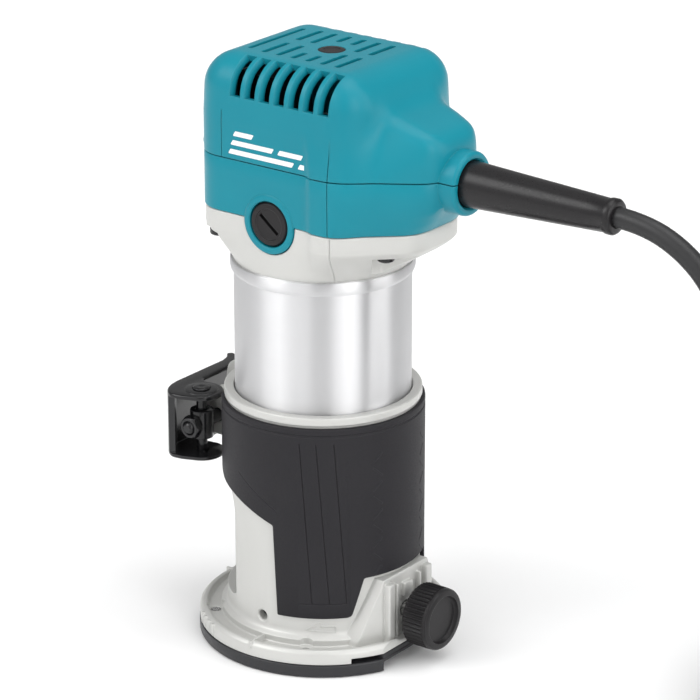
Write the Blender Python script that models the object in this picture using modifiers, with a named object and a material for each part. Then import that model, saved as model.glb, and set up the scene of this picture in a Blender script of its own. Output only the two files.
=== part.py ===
"""Trim router: a motor unit held in a split trimming base by a cam lever.

Sizes are written in millimetres and turned into metres where a mesh is made.  The frame of the
numbers is the tool itself: Z is the spindle axis with Z = 0 at the underside of the sub-base,
+X is the rear (cord and guide screw) and -X the front (switch, lever and chip window).
The empty called router moves that frame so that the object stands over the world's origin.
"""
from math import cos, hypot, pi, radians, sin, sqrt, tan

import bmesh
import bpy
from mathutils import Matrix, Vector

MM = 0.001
GAP = 0.3                     # between solids that touch

# ---------------------------------------------------------------- driving sizes, millimetres
FRONT_X = -60.8               # front of the closed clamp lever
REAR_X = 66.0                 # rear face of the cord collar

TUBE_R = 32.5                 # machined motor tube
TUBE_BORE_R = 28.5
TUBE_Z0, NECK_Z = 60.0, 148.2
FLANGE_Z1 = 169.0             # top of the cast flange
SEAM_Z = 189.5                # between the two plastic covers

RING_TOP_Z = 98.0             # top of the base's clamp ring
BASE_BORE_R = TUBE_R + GAP
BASE_R = 36.0
PLATE_R, PLATE_T = 46.8, 5.0
PLATE_HOLE_R = 16.0
FOOT_Z0 = PLATE_T + GAP
FOOT_FLOOR_Z = 8.8
SILL_Z, WINDOW_TOP_Z = 18.5, 67.0
WINDOW_HALF_Y = 32.0
CHORD_X = 42.4                # the foot is cut off behind this

GRIP_R0, GRIP_R1 = BASE_R + GAP, 37.6
GRIP_Z0, GRIP_Z1 = 19.4, 91.5

WALL = 2.4                    # of the plastic covers and the cast flange

COLLAR_Z, COLLAR_R = 187.5, 11.6
GUARD_R0, GUARD_R1 = 8.3, 6.4
GUARD_X0, GUARD_X1 = 60.4, 126.0

BRUSH_X, BRUSH_Z = 1.5, 168.5
BRUSH_BOSS_R = 11.0
BRUSH_SEAT_Y = 33.8           # outer face of the brush bosses

SLIT_HALF = 1.5               # the base's clamp slit, half its width
LUG_X0, LUG_X1 = -50.0, -33.4
LUG_FRONT_Y, LUG_BACK_Y = -7.8, 8.2
PINION_BOSS_Y = 26.4
CLAMP_X, CLAMP_Z = -44.0, 77.0
CLAMP_PIN_Y = -17.2
CLAMP_BOLT_R = 2.5
LEVER_Z0, LEVER_Z1 = 64.5, 90.2
LEVER_SHEET = 1.5

RACK_PITCH = 3.0
PINION_TEETH = 12
PINION_R = RACK_PITCH * PINION_TEETH / (2 * pi)
RACK_TIP_X = -31.3
PINION_X, PINION_Z = RACK_TIP_X + 0.65 - PINION_R, 88.0
RACK_Y0, RACK_Y1 = 2.6, 7.1

GUIDE_Z = 17.3                # thumb screw's axis
PAD_X = 38.0

SPINDLE_R = 5.7
CORD_D = 7.5
COIL_X, COIL_Y = 197.0, 57.0
COIL_R0, COIL_R1, COIL_H = 29.6, 52.4, 22.6

# ---------------------------------------------------------------- collections, frame and materials
for old in list(bpy.data.objects):
    bpy.data.objects.remove(old, do_unlink=True)

model = bpy.data.collections.new("trim_router")
cutters = bpy.data.collections.new("cutters")
for group in (model, cutters):
    bpy.context.scene.collection.children.link(group)

FRAME = Vector((-(FRONT_X + REAR_X) / 2, 0.0, 0.0))


def axis_empty(name, place):
    """An empty at a joint's axis; its children are placed relative to it."""
    empty = bpy.data.objects.new(name, None)
    empty.empty_display_size = 0.01
    model.objects.link(empty)
    empty["place"] = [float(value) for value in place]
    return empty


ROUTER = axis_empty("router", (0, 0, 0))
ROUTER.location = FRAME * MM


def body(name, place):
    """A moving body's empty, parented to the router's frame."""
    empty = axis_empty(name, place)
    empty.parent = ROUTER
    empty.location = Vector(place) * MM
    return empty


BASE = body("base", (0, 0, 0))
MOTOR = body("motor_unit", (0, 0, 0))
SPINDLE = body("spindle_axis", (0, 0, 0))
LEVER = body("lever_axis", (CLAMP_X, CLAMP_PIN_Y, 0))
PINION = body("pinion_axis", (PINION_X, 0, PINION_Z))
WASHER = body("guide_slide", (PAD_X, 0, GUIDE_Z))
GUIDE = body("guide_axis", (PAD_X, 0, GUIDE_Z))
SWITCH = body("switch_axis", (-33.0, 0, 204.5))
DIAL = body("dial_axis", (-27.5, 0, 0))


def material(name, colour, roughness, metallic=0.0):
    made = bpy.data.materials.new(name)
    made.use_nodes = True
    shader = made.node_tree.nodes["Principled BSDF"]
    shader.inputs["Base Color"].default_value = (*colour, 1.0)
    shader.inputs["Roughness"].default_value = roughness
    shader.inputs["Metallic"].default_value = metallic
    made.diffuse_color = (*colour, 1.0)
    return made


TEAL = material("teal_plastic", (0.02, 0.27, 0.34), 0.38)
CAST = material("cast_silver", (0.55, 0.55, 0.53), 0.42, 0.6)
BRIGHT = material("machined_aluminium", (0.72, 0.72, 0.73), 0.25, 1.0)
BLACK = material("black_plastic", (0.02, 0.02, 0.022), 0.45)
RUBBER = material("black_rubber", (0.025, 0.025, 0.028), 0.7)
BLACK_STEEL = material("blackened_steel", (0.015, 0.015, 0.015), 0.3, 0.8)
STEEL = material("steel", (0.5, 0.5, 0.5), 0.3, 1.0)
IRON = material("lamination_steel", (0.22, 0.22, 0.23), 0.5, 0.9)
COPPER = material("copper", (0.72, 0.3, 0.14), 0.35, 1.0)
BRASS = material("brass", (0.75, 0.55, 0.22), 0.3, 1.0)
CARBON = material("carbon", (0.03, 0.03, 0.03), 0.6)
WHITE = material("white_plastic", (0.75, 0.75, 0.72), 0.4)


# ---------------------------------------------------------------- shape helpers
def from_bmesh(name, bm, smooth_angle=35):
    mesh = bpy.data.meshes.new(name)
    bmesh.ops.recalc_face_normals(bm, faces=bm.faces)
    bm.to_mesh(mesh)
    bm.free()
    mesh.shade_smooth()
    mesh.set_sharp_from_angle(angle=radians(smooth_angle))
    return bpy.data.objects.new(name, mesh)


def moved(points, place):
    """Points in millimetres as metres, measured from a place."""
    return [(Vector(point) - Vector(place)) * MM for point in points]


def show(obj, finish, parent):
    """Put a finished sub-part in the model under its body's empty, keeping its world place."""
    obj.data.materials.append(finish)
    obj.parent = parent
    obj.location -= Vector(parent["place"]) * MM
    model.objects.link(obj)
    return obj


def hide(obj):
    """Put a shape among the cutters: it only serves a Boolean."""
    obj.parent = ROUTER
    obj.hide_render = True
    obj.display_type = "WIRE"
    cutters.objects.link(obj)
    return obj


def boolean(obj, other, operation):
    step = obj.modifiers.new(operation.lower() + "_" + other.name, "BOOLEAN")
    step.operation = operation
    step.object = other
    step.solver = "EXACT"


def cut(obj, *others):
    for other in others:
        boolean(obj, hide(other), "DIFFERENCE")


def join(obj, *others):
    for other in others:
        boolean(obj, hide(other), "UNION")


def block(name, low, high):
    """A box between two corners."""
    low, high = Vector(low), Vector(high)
    bm = bmesh.new()
    bmesh.ops.create_cube(bm, size=1.0)
    bmesh.ops.scale(bm, vec=(high - low) * MM, verts=bm.verts)
    obj = from_bmesh(name, bm)
    obj.location = (low + high) / 2 * MM
    return obj


def rod(name, radius, start, end, sides=32, end_radius=None):
    """A cylinder, or a cone, from one point to another."""
    start, end = Vector(start), Vector(end)
    bm = bmesh.new()
    bmesh.ops.create_cone(
        bm, cap_ends=True, segments=sides, radius1=radius * MM,
        radius2=(radius if end_radius is None else end_radius) * MM,
        depth=(end - start).length * MM)
    turn = (end - start).to_track_quat("Z", "Y")
    bmesh.ops.rotate(bm, verts=bm.verts, cent=(0, 0, 0), matrix=turn.to_matrix())
    obj = from_bmesh(name, bm)
    obj.location = (start + end) / 2 * MM
    return obj


def turned(name, profile, steps=48, closed=False):
    """A profile of (radius, z) turned about the tool's axis; it runs down its outer side."""
    mesh = bpy.data.meshes.new(name)
    count = len(profile)
    edges = [(i, i + 1) for i in range(count - 1)] + ([(count - 1, 0)] if closed else [])
    mesh.from_pydata([(r * MM, 0.0, z * MM) for r, z in profile], edges, [])
    obj = bpy.data.objects.new(name, mesh)
    spin = obj.modifiers.new("turn", "SCREW")
    spin.axis = "Z"
    spin.steps = spin.render_steps = steps
    spin.use_merge_vertices = True
    spin.merge_threshold = 0.00001
    spin.use_smooth_shade = True
    return obj


def ring(name, r0, r1, z0, z1, steps=48, at=(0.0, 0.0)):
    """A plain turned ring about a vertical axis."""
    obj = turned(name, [(r1, z1), (r1, z0), (r0, z0), (r0, z1)], steps, closed=True)
    obj.location = Vector((at[0], at[1], 0)) * MM
    return obj


def prism(name, outline, axis, start, end):
    """An outline extruded along an axis: (Y, Z) along X, (X, Z) along Y, (X, Y) along Z."""
    place = {"X": lambda u, v, w: (w, u, v), "Y": lambda u, v, w: (u, w, v),
             "Z": lambda u, v, w: (u, v, w)}[axis]
    bm = bmesh.new()
    face = bm.faces.new([bm.verts.new(Vector(place(u, v, start)) * MM) for u, v in outline])
    sweep = bmesh.ops.extrude_face_region(bm, geom=[face])
    tips = [item for item in sweep["geom"] if isinstance(item, bmesh.types.BMVert)]
    bmesh.ops.translate(bm, verts=tips, vec=Vector(place(0, 0, end - start)) * MM)
    return from_bmesh(name, bm)


def rounded(corners, radii, steps=5):
    """A closed outline with each corner turned into an arc of its own radius."""
    outline = []
    count = len(corners)
    for i, corner in enumerate(corners):
        here = Vector(corner)
        back = (Vector(corners[i - 1]) - here).normalized()
        ahead = (Vector(corners[(i + 1) % count]) - here).normalized()
        half = back.angle(ahead) / 2
        radius = radii[i]
        centre = here + (back + ahead).normalized() * (radius / sin(half))
        first = here + back * (radius / tan(half)) - centre
        last = here + ahead * (radius / tan(half)) - centre
        sweep = first.angle_signed(last)
        for step in range(steps + 1):
            angle = -sweep * step / steps
            spot = centre + Matrix.Rotation(angle, 2) @ first
            outline.append((spot.x, spot.y))
    return outline


def loft(name, sections):
    """A closed skin through (outline, z) sections that all have the same number of points."""
    bm = bmesh.new()
    loops = [[bm.verts.new((x * MM, y * MM, z * MM)) for x, y in outline]
             for outline, z in sections]
    count = len(loops[0])
    for low, high in zip(loops, loops[1:]):
        for i in range(count):
            j = (i + 1) % count
            bm.faces.new((low[i], low[j], high[j], high[i]))
    bm.faces.new(loops[0])
    bm.faces.new(loops[-1])
    return from_bmesh(name, bm, 28)


def smooth_path(points, spacing):
    """Points every spacing along a centripetal curve through the given ones."""
    spots = [Vector(point) for point in points]
    spots = [2 * spots[0] - spots[1]] + spots + [2 * spots[-1] - spots[-2]]
    fine = []
    for p0, p1, p2, p3 in zip(spots, spots[1:], spots[2:], spots[3:]):
        knots = [0.0]
        for a, b in ((p0, p1), (p1, p2), (p2, p3)):
            knots.append(knots[-1] + sqrt((b - a).length))
        t0, t1, t2, t3 = knots
        for step in range(24):
            t = t1 + (t2 - t1) * step / 24
            a1 = p0.lerp(p1, (t - t0) / (t1 - t0))
            a2 = p1.lerp(p2, (t - t1) / (t2 - t1))
            a3 = p2.lerp(p3, (t - t2) / (t3 - t2))
            b1 = a1.lerp(a2, (t - t0) / (t2 - t0))
            b2 = a2.lerp(a3, (t - t1) / (t3 - t1))
            fine.append(b1.lerp(b2, (t - t1) / (t2 - t1)))
    fine.append(spots[-2])
    length = sum((b - a).length for a, b in zip(fine, fine[1:]))
    count = max(2, round(length / spacing))
    even, walked, target = [fine[0]], 0.0, length / count
    for a, b in zip(fine, fine[1:]):
        step = (b - a).length
        while step > 0 and walked + step >= target - 1e-6 and len(even) < count:
            even.append(a.lerp(b, min(1.0, (target - walked) / step)))
            target += length / count
        walked += step
    even.append(fine[-1])
    return even


def wire(name, points, radius, resolution=2):
    """A round wire along a polyline."""
    data = bpy.data.curves.new(name, "CURVE")
    data.dimensions = "3D"
    data.bevel_depth = radius * MM
    data.bevel_resolution = resolution
    data.use_fill_caps = True
    line = data.splines.new("POLY")
    line.points.add(len(points) - 1)
    for spot, point in zip(line.points, points):
        spot.co = (*(Vector(point) * MM), 1.0)
    return bpy.data.objects.new(name, data)


def half_space(name, z, above):
    """A big box above or below a height, to cut a joined shape at the seam."""
    return block(name, (-80, -60, z if above else 60), (100, 60, 260 if above else z))


# ---------------------------------------------------------------- outlines of the head
def head_outline(front, rear, half_y, corner, tip, tip_half, inset=0.0):
    """Plan of the head: a rounded front and a wedge that runs back to the cord collar."""
    front, rear, tip = front + inset, rear - inset, tip - inset
    half_y, tip_half = half_y - inset, tip_half - inset * 0.6
    corner = max(corner - inset, 1.5)
    shoulder = rear - 6.0
    corners = [(front, -half_y), (shoulder, -half_y), (tip, -tip_half),
               (tip, tip_half), (shoulder, half_y), (front, half_y)]
    return rounded(corners, [corner, 9.0, 4.0, 4.0, 9.0, corner])


#                 z       front  rear  half_y  corner  tip   tip_half
COVER_LEVELS = [(189.7, -34.4, 36.5, 33.3, 13.0, 60.4, 13.0),
                (200.5, -34.3, 36.4, 33.2, 13.0, 59.6, 13.0),
                (204.5, -34.2, 36.3, 33.0, 13.0, 58.0, 13.2),
                (208.0, -34.0, 36.2, 32.9, 13.0, 48.5, 15.5),
                (212.5, -33.8, 36.0, 32.6, 12.5, 38.6, 20.0),
                (217.5, -32.6, 34.8, 31.2, 12.0, 35.6, 18.0),
                (221.5, -30.6, 31.4, 28.6, 11.0, 32.2, 16.0),
                (224.4, -27.8, 27.6, 25.2, 10.0, 28.4, 13.0),
                (225.5, -25.2, 25.2, 22.8, 9.0, 26.0, 11.0)]


def cover_sections(inset):
    return [(head_outline(*level[1:], inset), level[0]) for level in COVER_LEVELS]


# ---------------------------------------------------------------- base
def base_casting():
    """One casting: clamp ring, columns either side of the chip window, rimmed foot and pad."""
    casting = turned("base_casting", [
        (36.5, RING_TOP_Z), (36.5, 92.4), (BASE_R, 92.0), (BASE_R, 13.0), (38.2, 11.4),
        (38.2, FOOT_FLOOR_Z), (43.2, FOOT_FLOOR_Z), (43.8, 10.6), (45.2, 10.6), (46.6, 9.6),
        (46.6, FOOT_Z0), (24.0, FOOT_Z0), (24.0, FOOT_FLOOR_Z),
        (BASE_BORE_R, FOOT_FLOOR_Z), (BASE_BORE_R, RING_TOP_Z)], 48, closed=True)
    join(casting, guide_pad(), *clamp_lugs())
    corner_y, corner_z = 10.0, 16.0
    arc = [(WINDOW_HALF_Y - corner_y * (1 - cos(a)), WINDOW_TOP_Z - corner_z * (1 - sin(a)))
           for a in [pi / 2 * i / 6 for i in range(7)]]
    side = [(WINDOW_HALF_Y, SILL_Z)] + arc
    cut(casting,
        prism("window_cut", side + [(-y, z) for y, z in reversed(side)], "X", -48, -11),
        block("slit_cut", (-60, -SLIT_HALF, WINDOW_TOP_Z - 4), (-20, SLIT_HALF, 110)),
        prism("chord_cut", [(CHORD_X, -60), (60, -60), (60, 60), (CHORD_X, 60)], "Z", 0, 12),
        block("pad_undercut", (30, -30, 4), (60, 30, 7.3)),
        rod("pinion_pocket", 7.0, (PINION_X, 2.4, PINION_Z), (PINION_X, 7.3, PINION_Z), 32),
        rod("pinion_bore", 2.5, (PINION_X, 5, PINION_Z), (PINION_X, 40, PINION_Z), 20),
        rod("clamp_bore", CLAMP_BOLT_R + GAP, (CLAMP_X, -12, CLAMP_Z), (CLAMP_X, 6.4, CLAMP_Z), 20),
        rod("guide_bore", 3.3, (PAD_X + 9, 0, GUIDE_Z), (29.0, 0, GUIDE_Z), 20),
        rod("sight_hole", 1.9, (-1.0, -44, 16.8), (-1.0, -33.8, 16.8), 20))
    for i, (x, y) in enumerate(PLATE_SCREWS):
        cut(casting, rod("screw_hole_%d" % i, 1.9, (x, y, 4), (x, y, 12), 12))
    return show(casting, CAST, BASE)


def guide_pad():
    """The rear pad for guides: a flat face with two upright wings, a rib and a lug."""
    pad = prism("guide_pad", rounded([(28, -24), (33.6, -24), (PAD_X, -14.2), (PAD_X, 14.2),
                                      (33.6, 24), (28, 24)], [1, 2, 1.5, 1.5, 2, 1], 3),
                "Z", 6.0, 33.0)
    cut(pad, prism("pad_slope", [(-60, 4), (-60, 40), (-13.4, 40), (-13.4, 33.2), (-24.6, 8.8),
                                 (-24.6, 4)], "X", 20, 60),
        prism("pad_slope_far", [(60, 4), (60, 40), (13.4, 40), (13.4, 33.2), (24.6, 8.8),
                                (24.6, 4)], "X", 20, 60))
    for side in (-1, 1):
        join(pad, block("wing_%d" % side, (34, min(side * 9.6, side * 13.2), 7.4),
                        (PAD_X + 2.6, max(side * 9.6, side * 13.2), 31.5)),
             block("rib_%d" % side, (34, min(side * 6.4, side * 7.6), 7.4),
                   (PAD_X + 1.8, max(side * 6.4, side * 7.6), 30.0)))
    join(pad, block("pad_lug", (34, -2.6, 23.2), (PAD_X + 1.6, 2.6, 28.6)))
    cut(pad, ring("pad_bore", 1.0, BASE_BORE_R + 1.0, 0, 60, 48))
    return pad


def clamp_lugs():
    """Two lugs either side of the slit, and the boss that carries the pinion's shaft."""
    front = prism("lug_front", rounded([(LUG_X0, 69), (LUG_X1, 69), (LUG_X1, 87), (LUG_X0, 87)],
                                       [5, 0.5, 0.5, 5], 4), "Y", LUG_FRONT_Y, -SLIT_HALF + 0.5)
    back = prism("lug_back", rounded([(LUG_X0, 69), (LUG_X1, 69), (LUG_X1, 96.5), (LUG_X0 + 4, 96.5)],
                                     [5, 0.5, 0.5, 5], 4), "Y", SLIT_HALF - 0.5, LUG_BACK_Y)
    boss = rod("pinion_boss", 4.4, (PINION_X, LUG_BACK_Y - 1, PINION_Z),
               (PINION_X, PINION_BOSS_Y, PINION_Z), 24)
    return front, back, boss


PLATE_SCREWS = [(40.8 * cos(radians(a)), 40.8 * sin(radians(a))) for a in (-136, 136, -62, 62)]


def grip_sleeve():
    """The elastomer grip: a thin sleeve that leaves the front columns and the foot bare."""
    grip = ring("grip_sleeve", GRIP_R0, GRIP_R1, GRIP_Z0, GRIP_Z1, 48)
    column = [(-60, 66.5), (-30, 66.5), (-21.5, 61.5), (-11.6, 57.4), (5.0, 54.6), (6.2, 53.0),
              (7.4, 20.6), (8.6, 19.2), (8.6, 10), (-60, 10)]
    pad = [(-60, 5), (60, 5), (60, 19), (22.4, 19), (21.6, 20.4), (18.4, 34.6), (-18.4, 34.6),
           (-21.6, 20.4), (-22.4, 19), (-60, 19)]
    cut(grip, prism("grip_columns", column, "Y", -60, 60),
        prism("grip_pad", pad, "X", 10, 60),
        block("grip_front", (-60, -60, 0), (-29.5, 60, 120)))
    return show(grip, RUBBER, BASE)


def sub_base():
    """The plate the tool slides on, notched at the rear under a raised tongue."""
    plate = turned("sub_base", [(PLATE_R, PLATE_T), (PLATE_R, 0.6), (PLATE_R - 0.6, 0.0),
                                (PLATE_HOLE_R, 0.0), (PLATE_HOLE_R, PLATE_T)], 48, closed=True)
    cut(plate, block("plate_chord", (CHORD_X, -60, -5), (60, 60, 20)),
        block("plate_notch", (36.2, -19.2, -5), (60, 19.2, PLATE_T - 0.4)))
    join(plate, block("plate_tongue", (32, -19.0, PLATE_T - 1.4), (CHORD_X - 0.2, 19.0, 6.9)))
    for i, (x, y) in enumerate(PLATE_SCREWS):
        cut(plate, rod("plate_hole_%d" % i, 2.4, (x, y, -1), (x, y, 8), 12),
            rod("plate_sink_%d" % i, 4.2, (x, y, -1), (x, y, 2.6), 12))
    show(plate, BLACK, BASE)
    for i, (x, y) in enumerate(PLATE_SCREWS):
        screw = turned("plate_screw_" + "abcd"[i], [
            (0, 8.6), (1.6, 8.6), (1.6, 2.3), (3.8, 2.2), (3.8, 0.6), (0, 0.6)], 12)
        screw.location = Vector((x, y, 0)) * MM
        show(screw, STEEL, BASE)


def clamp():
    """Bolt through both lugs, nut outside, upright pin and the cam lever that turns on it."""
    bolt = rod("clamp_bolt", CLAMP_BOLT_R, (CLAMP_X, 6.1, CLAMP_Z), (CLAMP_X, -26.2, CLAMP_Z), 20)
    join(bolt, rod("bolt_barrel", 4.4, (CLAMP_X, CLAMP_PIN_Y, CLAMP_Z - 5.5),
                   (CLAMP_X, CLAMP_PIN_Y, CLAMP_Z + 5.5), 20))
    cut(bolt, rod("barrel_bore", 2.3, (CLAMP_X, CLAMP_PIN_Y, CLAMP_Z - 9),
                  (CLAMP_X, CLAMP_PIN_Y, CLAMP_Z + 9), 16))
    show(bolt, BLACK_STEEL, BASE)
    nut = rod("clamp_nut", 4.5, (CLAMP_X, -25.1, CLAMP_Z), (CLAMP_X, -22.0, CLAMP_Z), 6)
    cut(nut, rod("nut_bore", CLAMP_BOLT_R + GAP, (CLAMP_X, -30, CLAMP_Z), (CLAMP_X, -15, CLAMP_Z), 20))
    show(nut, BLACK_STEEL, BASE)
    pin = turned("clamp_pin", [(0, 91.4), (3.2, 91.4), (3.2, 90.6), (2.0, 90.6), (2.0, 64.2),
                               (3.2, 64.2), (3.2, 63.4), (0, 63.4)], 16)
    pin.location = Vector((CLAMP_X, CLAMP_PIN_Y, 0)) * MM
    show(pin, BLACK_STEEL, BASE)


def clamp_lever():
    """A folded channel: two cam plates joined by a web that flares at its free end."""
    cam_r = 8.4
    plates = [(CLAMP_X + cam_r * cos(radians(a)), CLAMP_PIN_Y + cam_r * sin(radians(a)))
              for a in range(-75, 91, 15)]
    plates += [(-49.0, -9.6), (-51.2, -7.0), (-51.2, 12.0), (-53.6, 17.2), (-59.2, 20.2),
               (FRONT_X, 18.4), (-57.4, 12.4), (-57.4, -18.0), (-54.6, -24.6), (-50.4, -27.8),
               (-46.0, -27.0)]
    lever = prism("clamp_lever", plates, "Z", LEVER_Z0, LEVER_Z1)
    pocket = [(-60.0, -27.2), (-49.6, -26.2), (-53.0, -23.4), (-55.7, -17.6), (-55.7, 12.7),
              (-59.3, 19.0), (-59.3, 30.0), (-30.0, 30.0), (-30.0, -40.0), (-60.0, -40.0)]
    cut(lever, prism("lever_pocket", pocket, "Z", LEVER_Z0 + LEVER_SHEET, LEVER_Z1 - LEVER_SHEET),
        rod("lever_bore", 2.3, (CLAMP_X, CLAMP_PIN_Y, 50), (CLAMP_X, CLAMP_PIN_Y, 100), 16))
    return show(lever, BLACK_STEEL, LEVER)


def gear_outline(teeth, root, tip, half_width):
    """A pinion with parallel-sided teeth, one of them on the +X side."""
    outline = []
    for i in range(teeth):
        turn = Matrix.Rotation(2 * pi * i / teeth, 2)
        for r, side in ((root, -1), (tip, -1), (tip, 1), (root, 1)):
            across = half_width * side
            outline.append(tuple(turn @ Vector((sqrt(r * r - across * across), across))))
    return outline


def depth_drive():
    """The pinion shaft that raises the motor by its rack, and the knob on the shaft."""
    teeth = [(PINION_X + x, PINION_Z + z)
             for x, z in gear_outline(PINION_TEETH, 4.6, PINION_R + 0.65, 0.55)]
    gear = prism("depth_pinion", teeth, "Y", RACK_Y0 + 0.2, RACK_Y1 - 0.2)
    join(gear, rod("pinion_shaft", 2.1, (PINION_X, 5, PINION_Z), (PINION_X, 34.5, PINION_Z), 20))
    show(gear, STEEL, PINION)
    knob = knurled("depth_knob", 9.0, 10.0, 20)
    cut(knob, rod("knob_bore", 2.4, (0, 0, -3), (0, 0, 7.6), 20))
    turn_to(knob, (-pi / 2, 0, 0), (PINION_X, 27.5, PINION_Z))
    show(knob, BLACK, PINION)


def knurled(name, radius, length, ribs):
    """A round knob with a ribbed rim and a dished face, standing on Z = 0."""
    outline = []
    for i in range(ribs * 2):
        r = radius - 0.7 * (i % 2)
        outline.append((r * cos(pi * i / ribs), r * sin(pi * i / ribs)))
    knob = prism(name, outline, "Z", 0, length - 1.2)
    join(knob, rod(name + "_face", radius + 0.1, (0, 0, length - 2.0), (0, 0, length), 40,
                   radius - 0.7))
    cut(knob, rod(name + "_dish", radius - 3.0, (0, 0, length - 1.4), (0, 0, length + 1), 32))
    return knob


def turn_to(obj, rotation, place):
    """Turn and move a shape together with the cutters that were made in its own frame."""
    for step in obj.modifiers:
        step.object.parent = obj
    obj.rotation_euler = rotation
    obj.location = Vector(place) * MM


def guide_clamp():
    """The thumb screw on the rear pad, with its washer."""
    washer = ring("guide_washer", 3.4, 6.6, 0, 1.2, 24)
    washer.rotation_euler = (0, pi / 2, 0)
    washer.location = Vector((PAD_X + 4.6, 0, GUIDE_Z)) * MM
    show(washer, BLACK_STEEL, WASHER)
    stud = rod("guide_screw", 3.0, (35.4, 0, GUIDE_Z), (PAD_X + 12.4, 0, GUIDE_Z), 20)
    show(stud, STEEL, GUIDE)
    knob = knurled("guide_knob", 11.8, 11.3, 28)
    cut(knob, rod("guide_knob_bore", 3.3, (0, 0, -3), (0, 0, 6.8), 20))
    turn_to(knob, (0, pi / 2, 0), (PAD_X + 6.2, 0, GUIDE_Z))
    show(knob, BLACK, GUIDE)


# ---------------------------------------------------------------- motor housing
def circle_like(outline, radius):
    """The outline's points pulled onto a circle, each along its own direction."""
    return [(radius * x / hypot(x, y), radius * y / hypot(x, y)) for x, y in outline]


def between(first, second, share):
    return [(x0 + (x1 - x0) * share, y0 + (y1 - y0) * share)
            for (x0, y0), (x1, y1) in zip(first, second)]


HOUSING_SCREWS = [(-27.2, -26.2), (-27.2, 26.2), (38.6, -13.8), (38.6, 13.8)]
SCREW_R, SCREW_HOLE_R = 1.6, 2.0
SCREW_SEAT_Z = 159.9           # the ceiling of the pockets that the screw heads sit in
PILLAR_R = 4.2


def pillars(name, z0, z1):
    """Screw pillars in the four corners, with ribs that tie the rear ones to the wall."""
    shapes = []
    for i, (x, y) in enumerate(HOUSING_SCREWS):
        shapes.append(rod("%s_pillar_%d" % (name, i), PILLAR_R, (x, y, z0), (x, y, z1), 20))
        if x > 0:
            side = 1 if y > 0 else -1
            shapes.append(block("%s_rib_%d" % (name, i), (x - 1.3, min(y, side * 25.9), z0),
                                (x + 1.3, max(y, side * 25.9), z1)))
    return shapes


def screw_holes(name, z0, z1):
    return [rod("%s_hole_%d" % (name, i), SCREW_HOLE_R, (x, y, z0), (x, y, z1), 12)
            for i, (x, y) in enumerate(HOUSING_SCREWS)]


FLANGE_PLAN = (-33.9, 36.2, 33.0, 11.5, 51.6, 12.0)
RIM_Z = 162.6                 # where the flange's cone ends and its upright rim begins


def motor_housing():
    """Cast flange and machined tube in one piece, with rack teeth cut along the tube's front."""
    housing = turned("motor_housing", [
        (33.7, 149.4), (33.7, 144.6), (33.2, 143.6), (TUBE_R, 143.2), (TUBE_R, TUBE_Z0 + 0.8),
        (TUBE_R - 0.8, TUBE_Z0), (9.0, TUBE_Z0), (9.0, 62.4), (13.3, 62.4), (13.3, 71.0),
        (TUBE_BORE_R, 73.5), (TUBE_BORE_R, 149.4)], 48, closed=True)
    plan = head_outline(*FLANGE_PLAN)
    neck = circle_like(plan, 33.4)
    inner = head_outline(*FLANGE_PLAN, WALL)
    inner_neck = circle_like(plan, TUBE_BORE_R - 0.5)
    flange = loft("flange", [(neck, NECK_Z), (between(neck, plan, 0.36), 153.0),
                             (between(neck, plan, 0.8), 159.0), (plan, RIM_Z), (plan, FLANGE_Z1)])
    cavity = loft("flange_cavity", [(inner_neck, 140.0), (inner_neck, 161.6),
                                    (inner, 164.0), (inner, 180.0)])
    join(housing, flange)
    cut(housing, cavity)
    join(housing, *pillars("flange", SCREW_SEAT_Z + 1.4, FLANGE_Z1))
    cut(housing, *screw_holes("flange", 150, 175))
    for i, (x, y) in enumerate(HOUSING_SCREWS):
        cut(housing, rod("flange_pocket_%d" % i, 3.8, (x, y, 146.0), (x, y, SCREW_SEAT_Z), 14))
    for side in (-1, 1):
        cut(housing, rod("boss_notch_%d" % side, BRUSH_BOSS_R + GAP,
                         (BRUSH_X, side * 22, BRUSH_Z), (BRUSH_X, side * 50, BRUSH_Z), 40))
    for i in range(6):
        angle = radians(60 * i + 30)
        x, y = 21.0 * cos(angle), 21.0 * sin(angle)
        cut(housing, rod("air_hole_%d" % i, 4.2, (x, y, 50), (x, y, 80), 12))
    low, high = PINION_Z - 6 * RACK_PITCH, PINION_Z + 15 * RACK_PITCH
    cut(housing, block("rack_flat", (-40, RACK_Y0 - GAP, low - 2), (RACK_TIP_X, RACK_Y1 + GAP, high + 2)),
        rack_notches(low, high))
    return show(housing, BRIGHT, MOTOR)


def rack_notches(low, high):
    """A row of notches, a pitch apart, that leaves the rack's teeth between them."""
    bm = bmesh.new()
    for i in range(round((high - low) / RACK_PITCH) + 1):
        made = bmesh.ops.create_cube(bm, size=1.0)
        bmesh.ops.scale(bm, verts=made["verts"], vec=Vector((6.0, RACK_Y1 - RACK_Y0, 1.9)) * MM)
        centre = Vector((-29.6 - 3.0, (RACK_Y0 + RACK_Y1) / 2, low + i * RACK_PITCH))
        bmesh.ops.translate(bm, verts=made["verts"], vec=centre * MM)
    return from_bmesh("rack_notches", bm)


def housing_screws():
    for i, (x, y) in enumerate(HOUSING_SCREWS):
        screw = turned("housing_screw_" + "abcd"[i], [
            (0, 197.5), (SCREW_R, 197.5), (SCREW_R, SCREW_SEAT_Z - 0.3), (3.2, SCREW_SEAT_Z - 0.3),
            (3.2, SCREW_SEAT_Z - 2.8), (0, SCREW_SEAT_Z - 2.8)], 12)
        screw.location = Vector((x, y, 0)) * MM
        show(screw, BLACK_STEEL, MOTOR)


# ---------------------------------------------------------------- covers
def collar(name):
    """The round collar that the cord guard comes out of."""
    return rod(name, COLLAR_R, (50, 0, COLLAR_Z), (REAR_X, 0, COLLAR_Z), 36)


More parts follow.
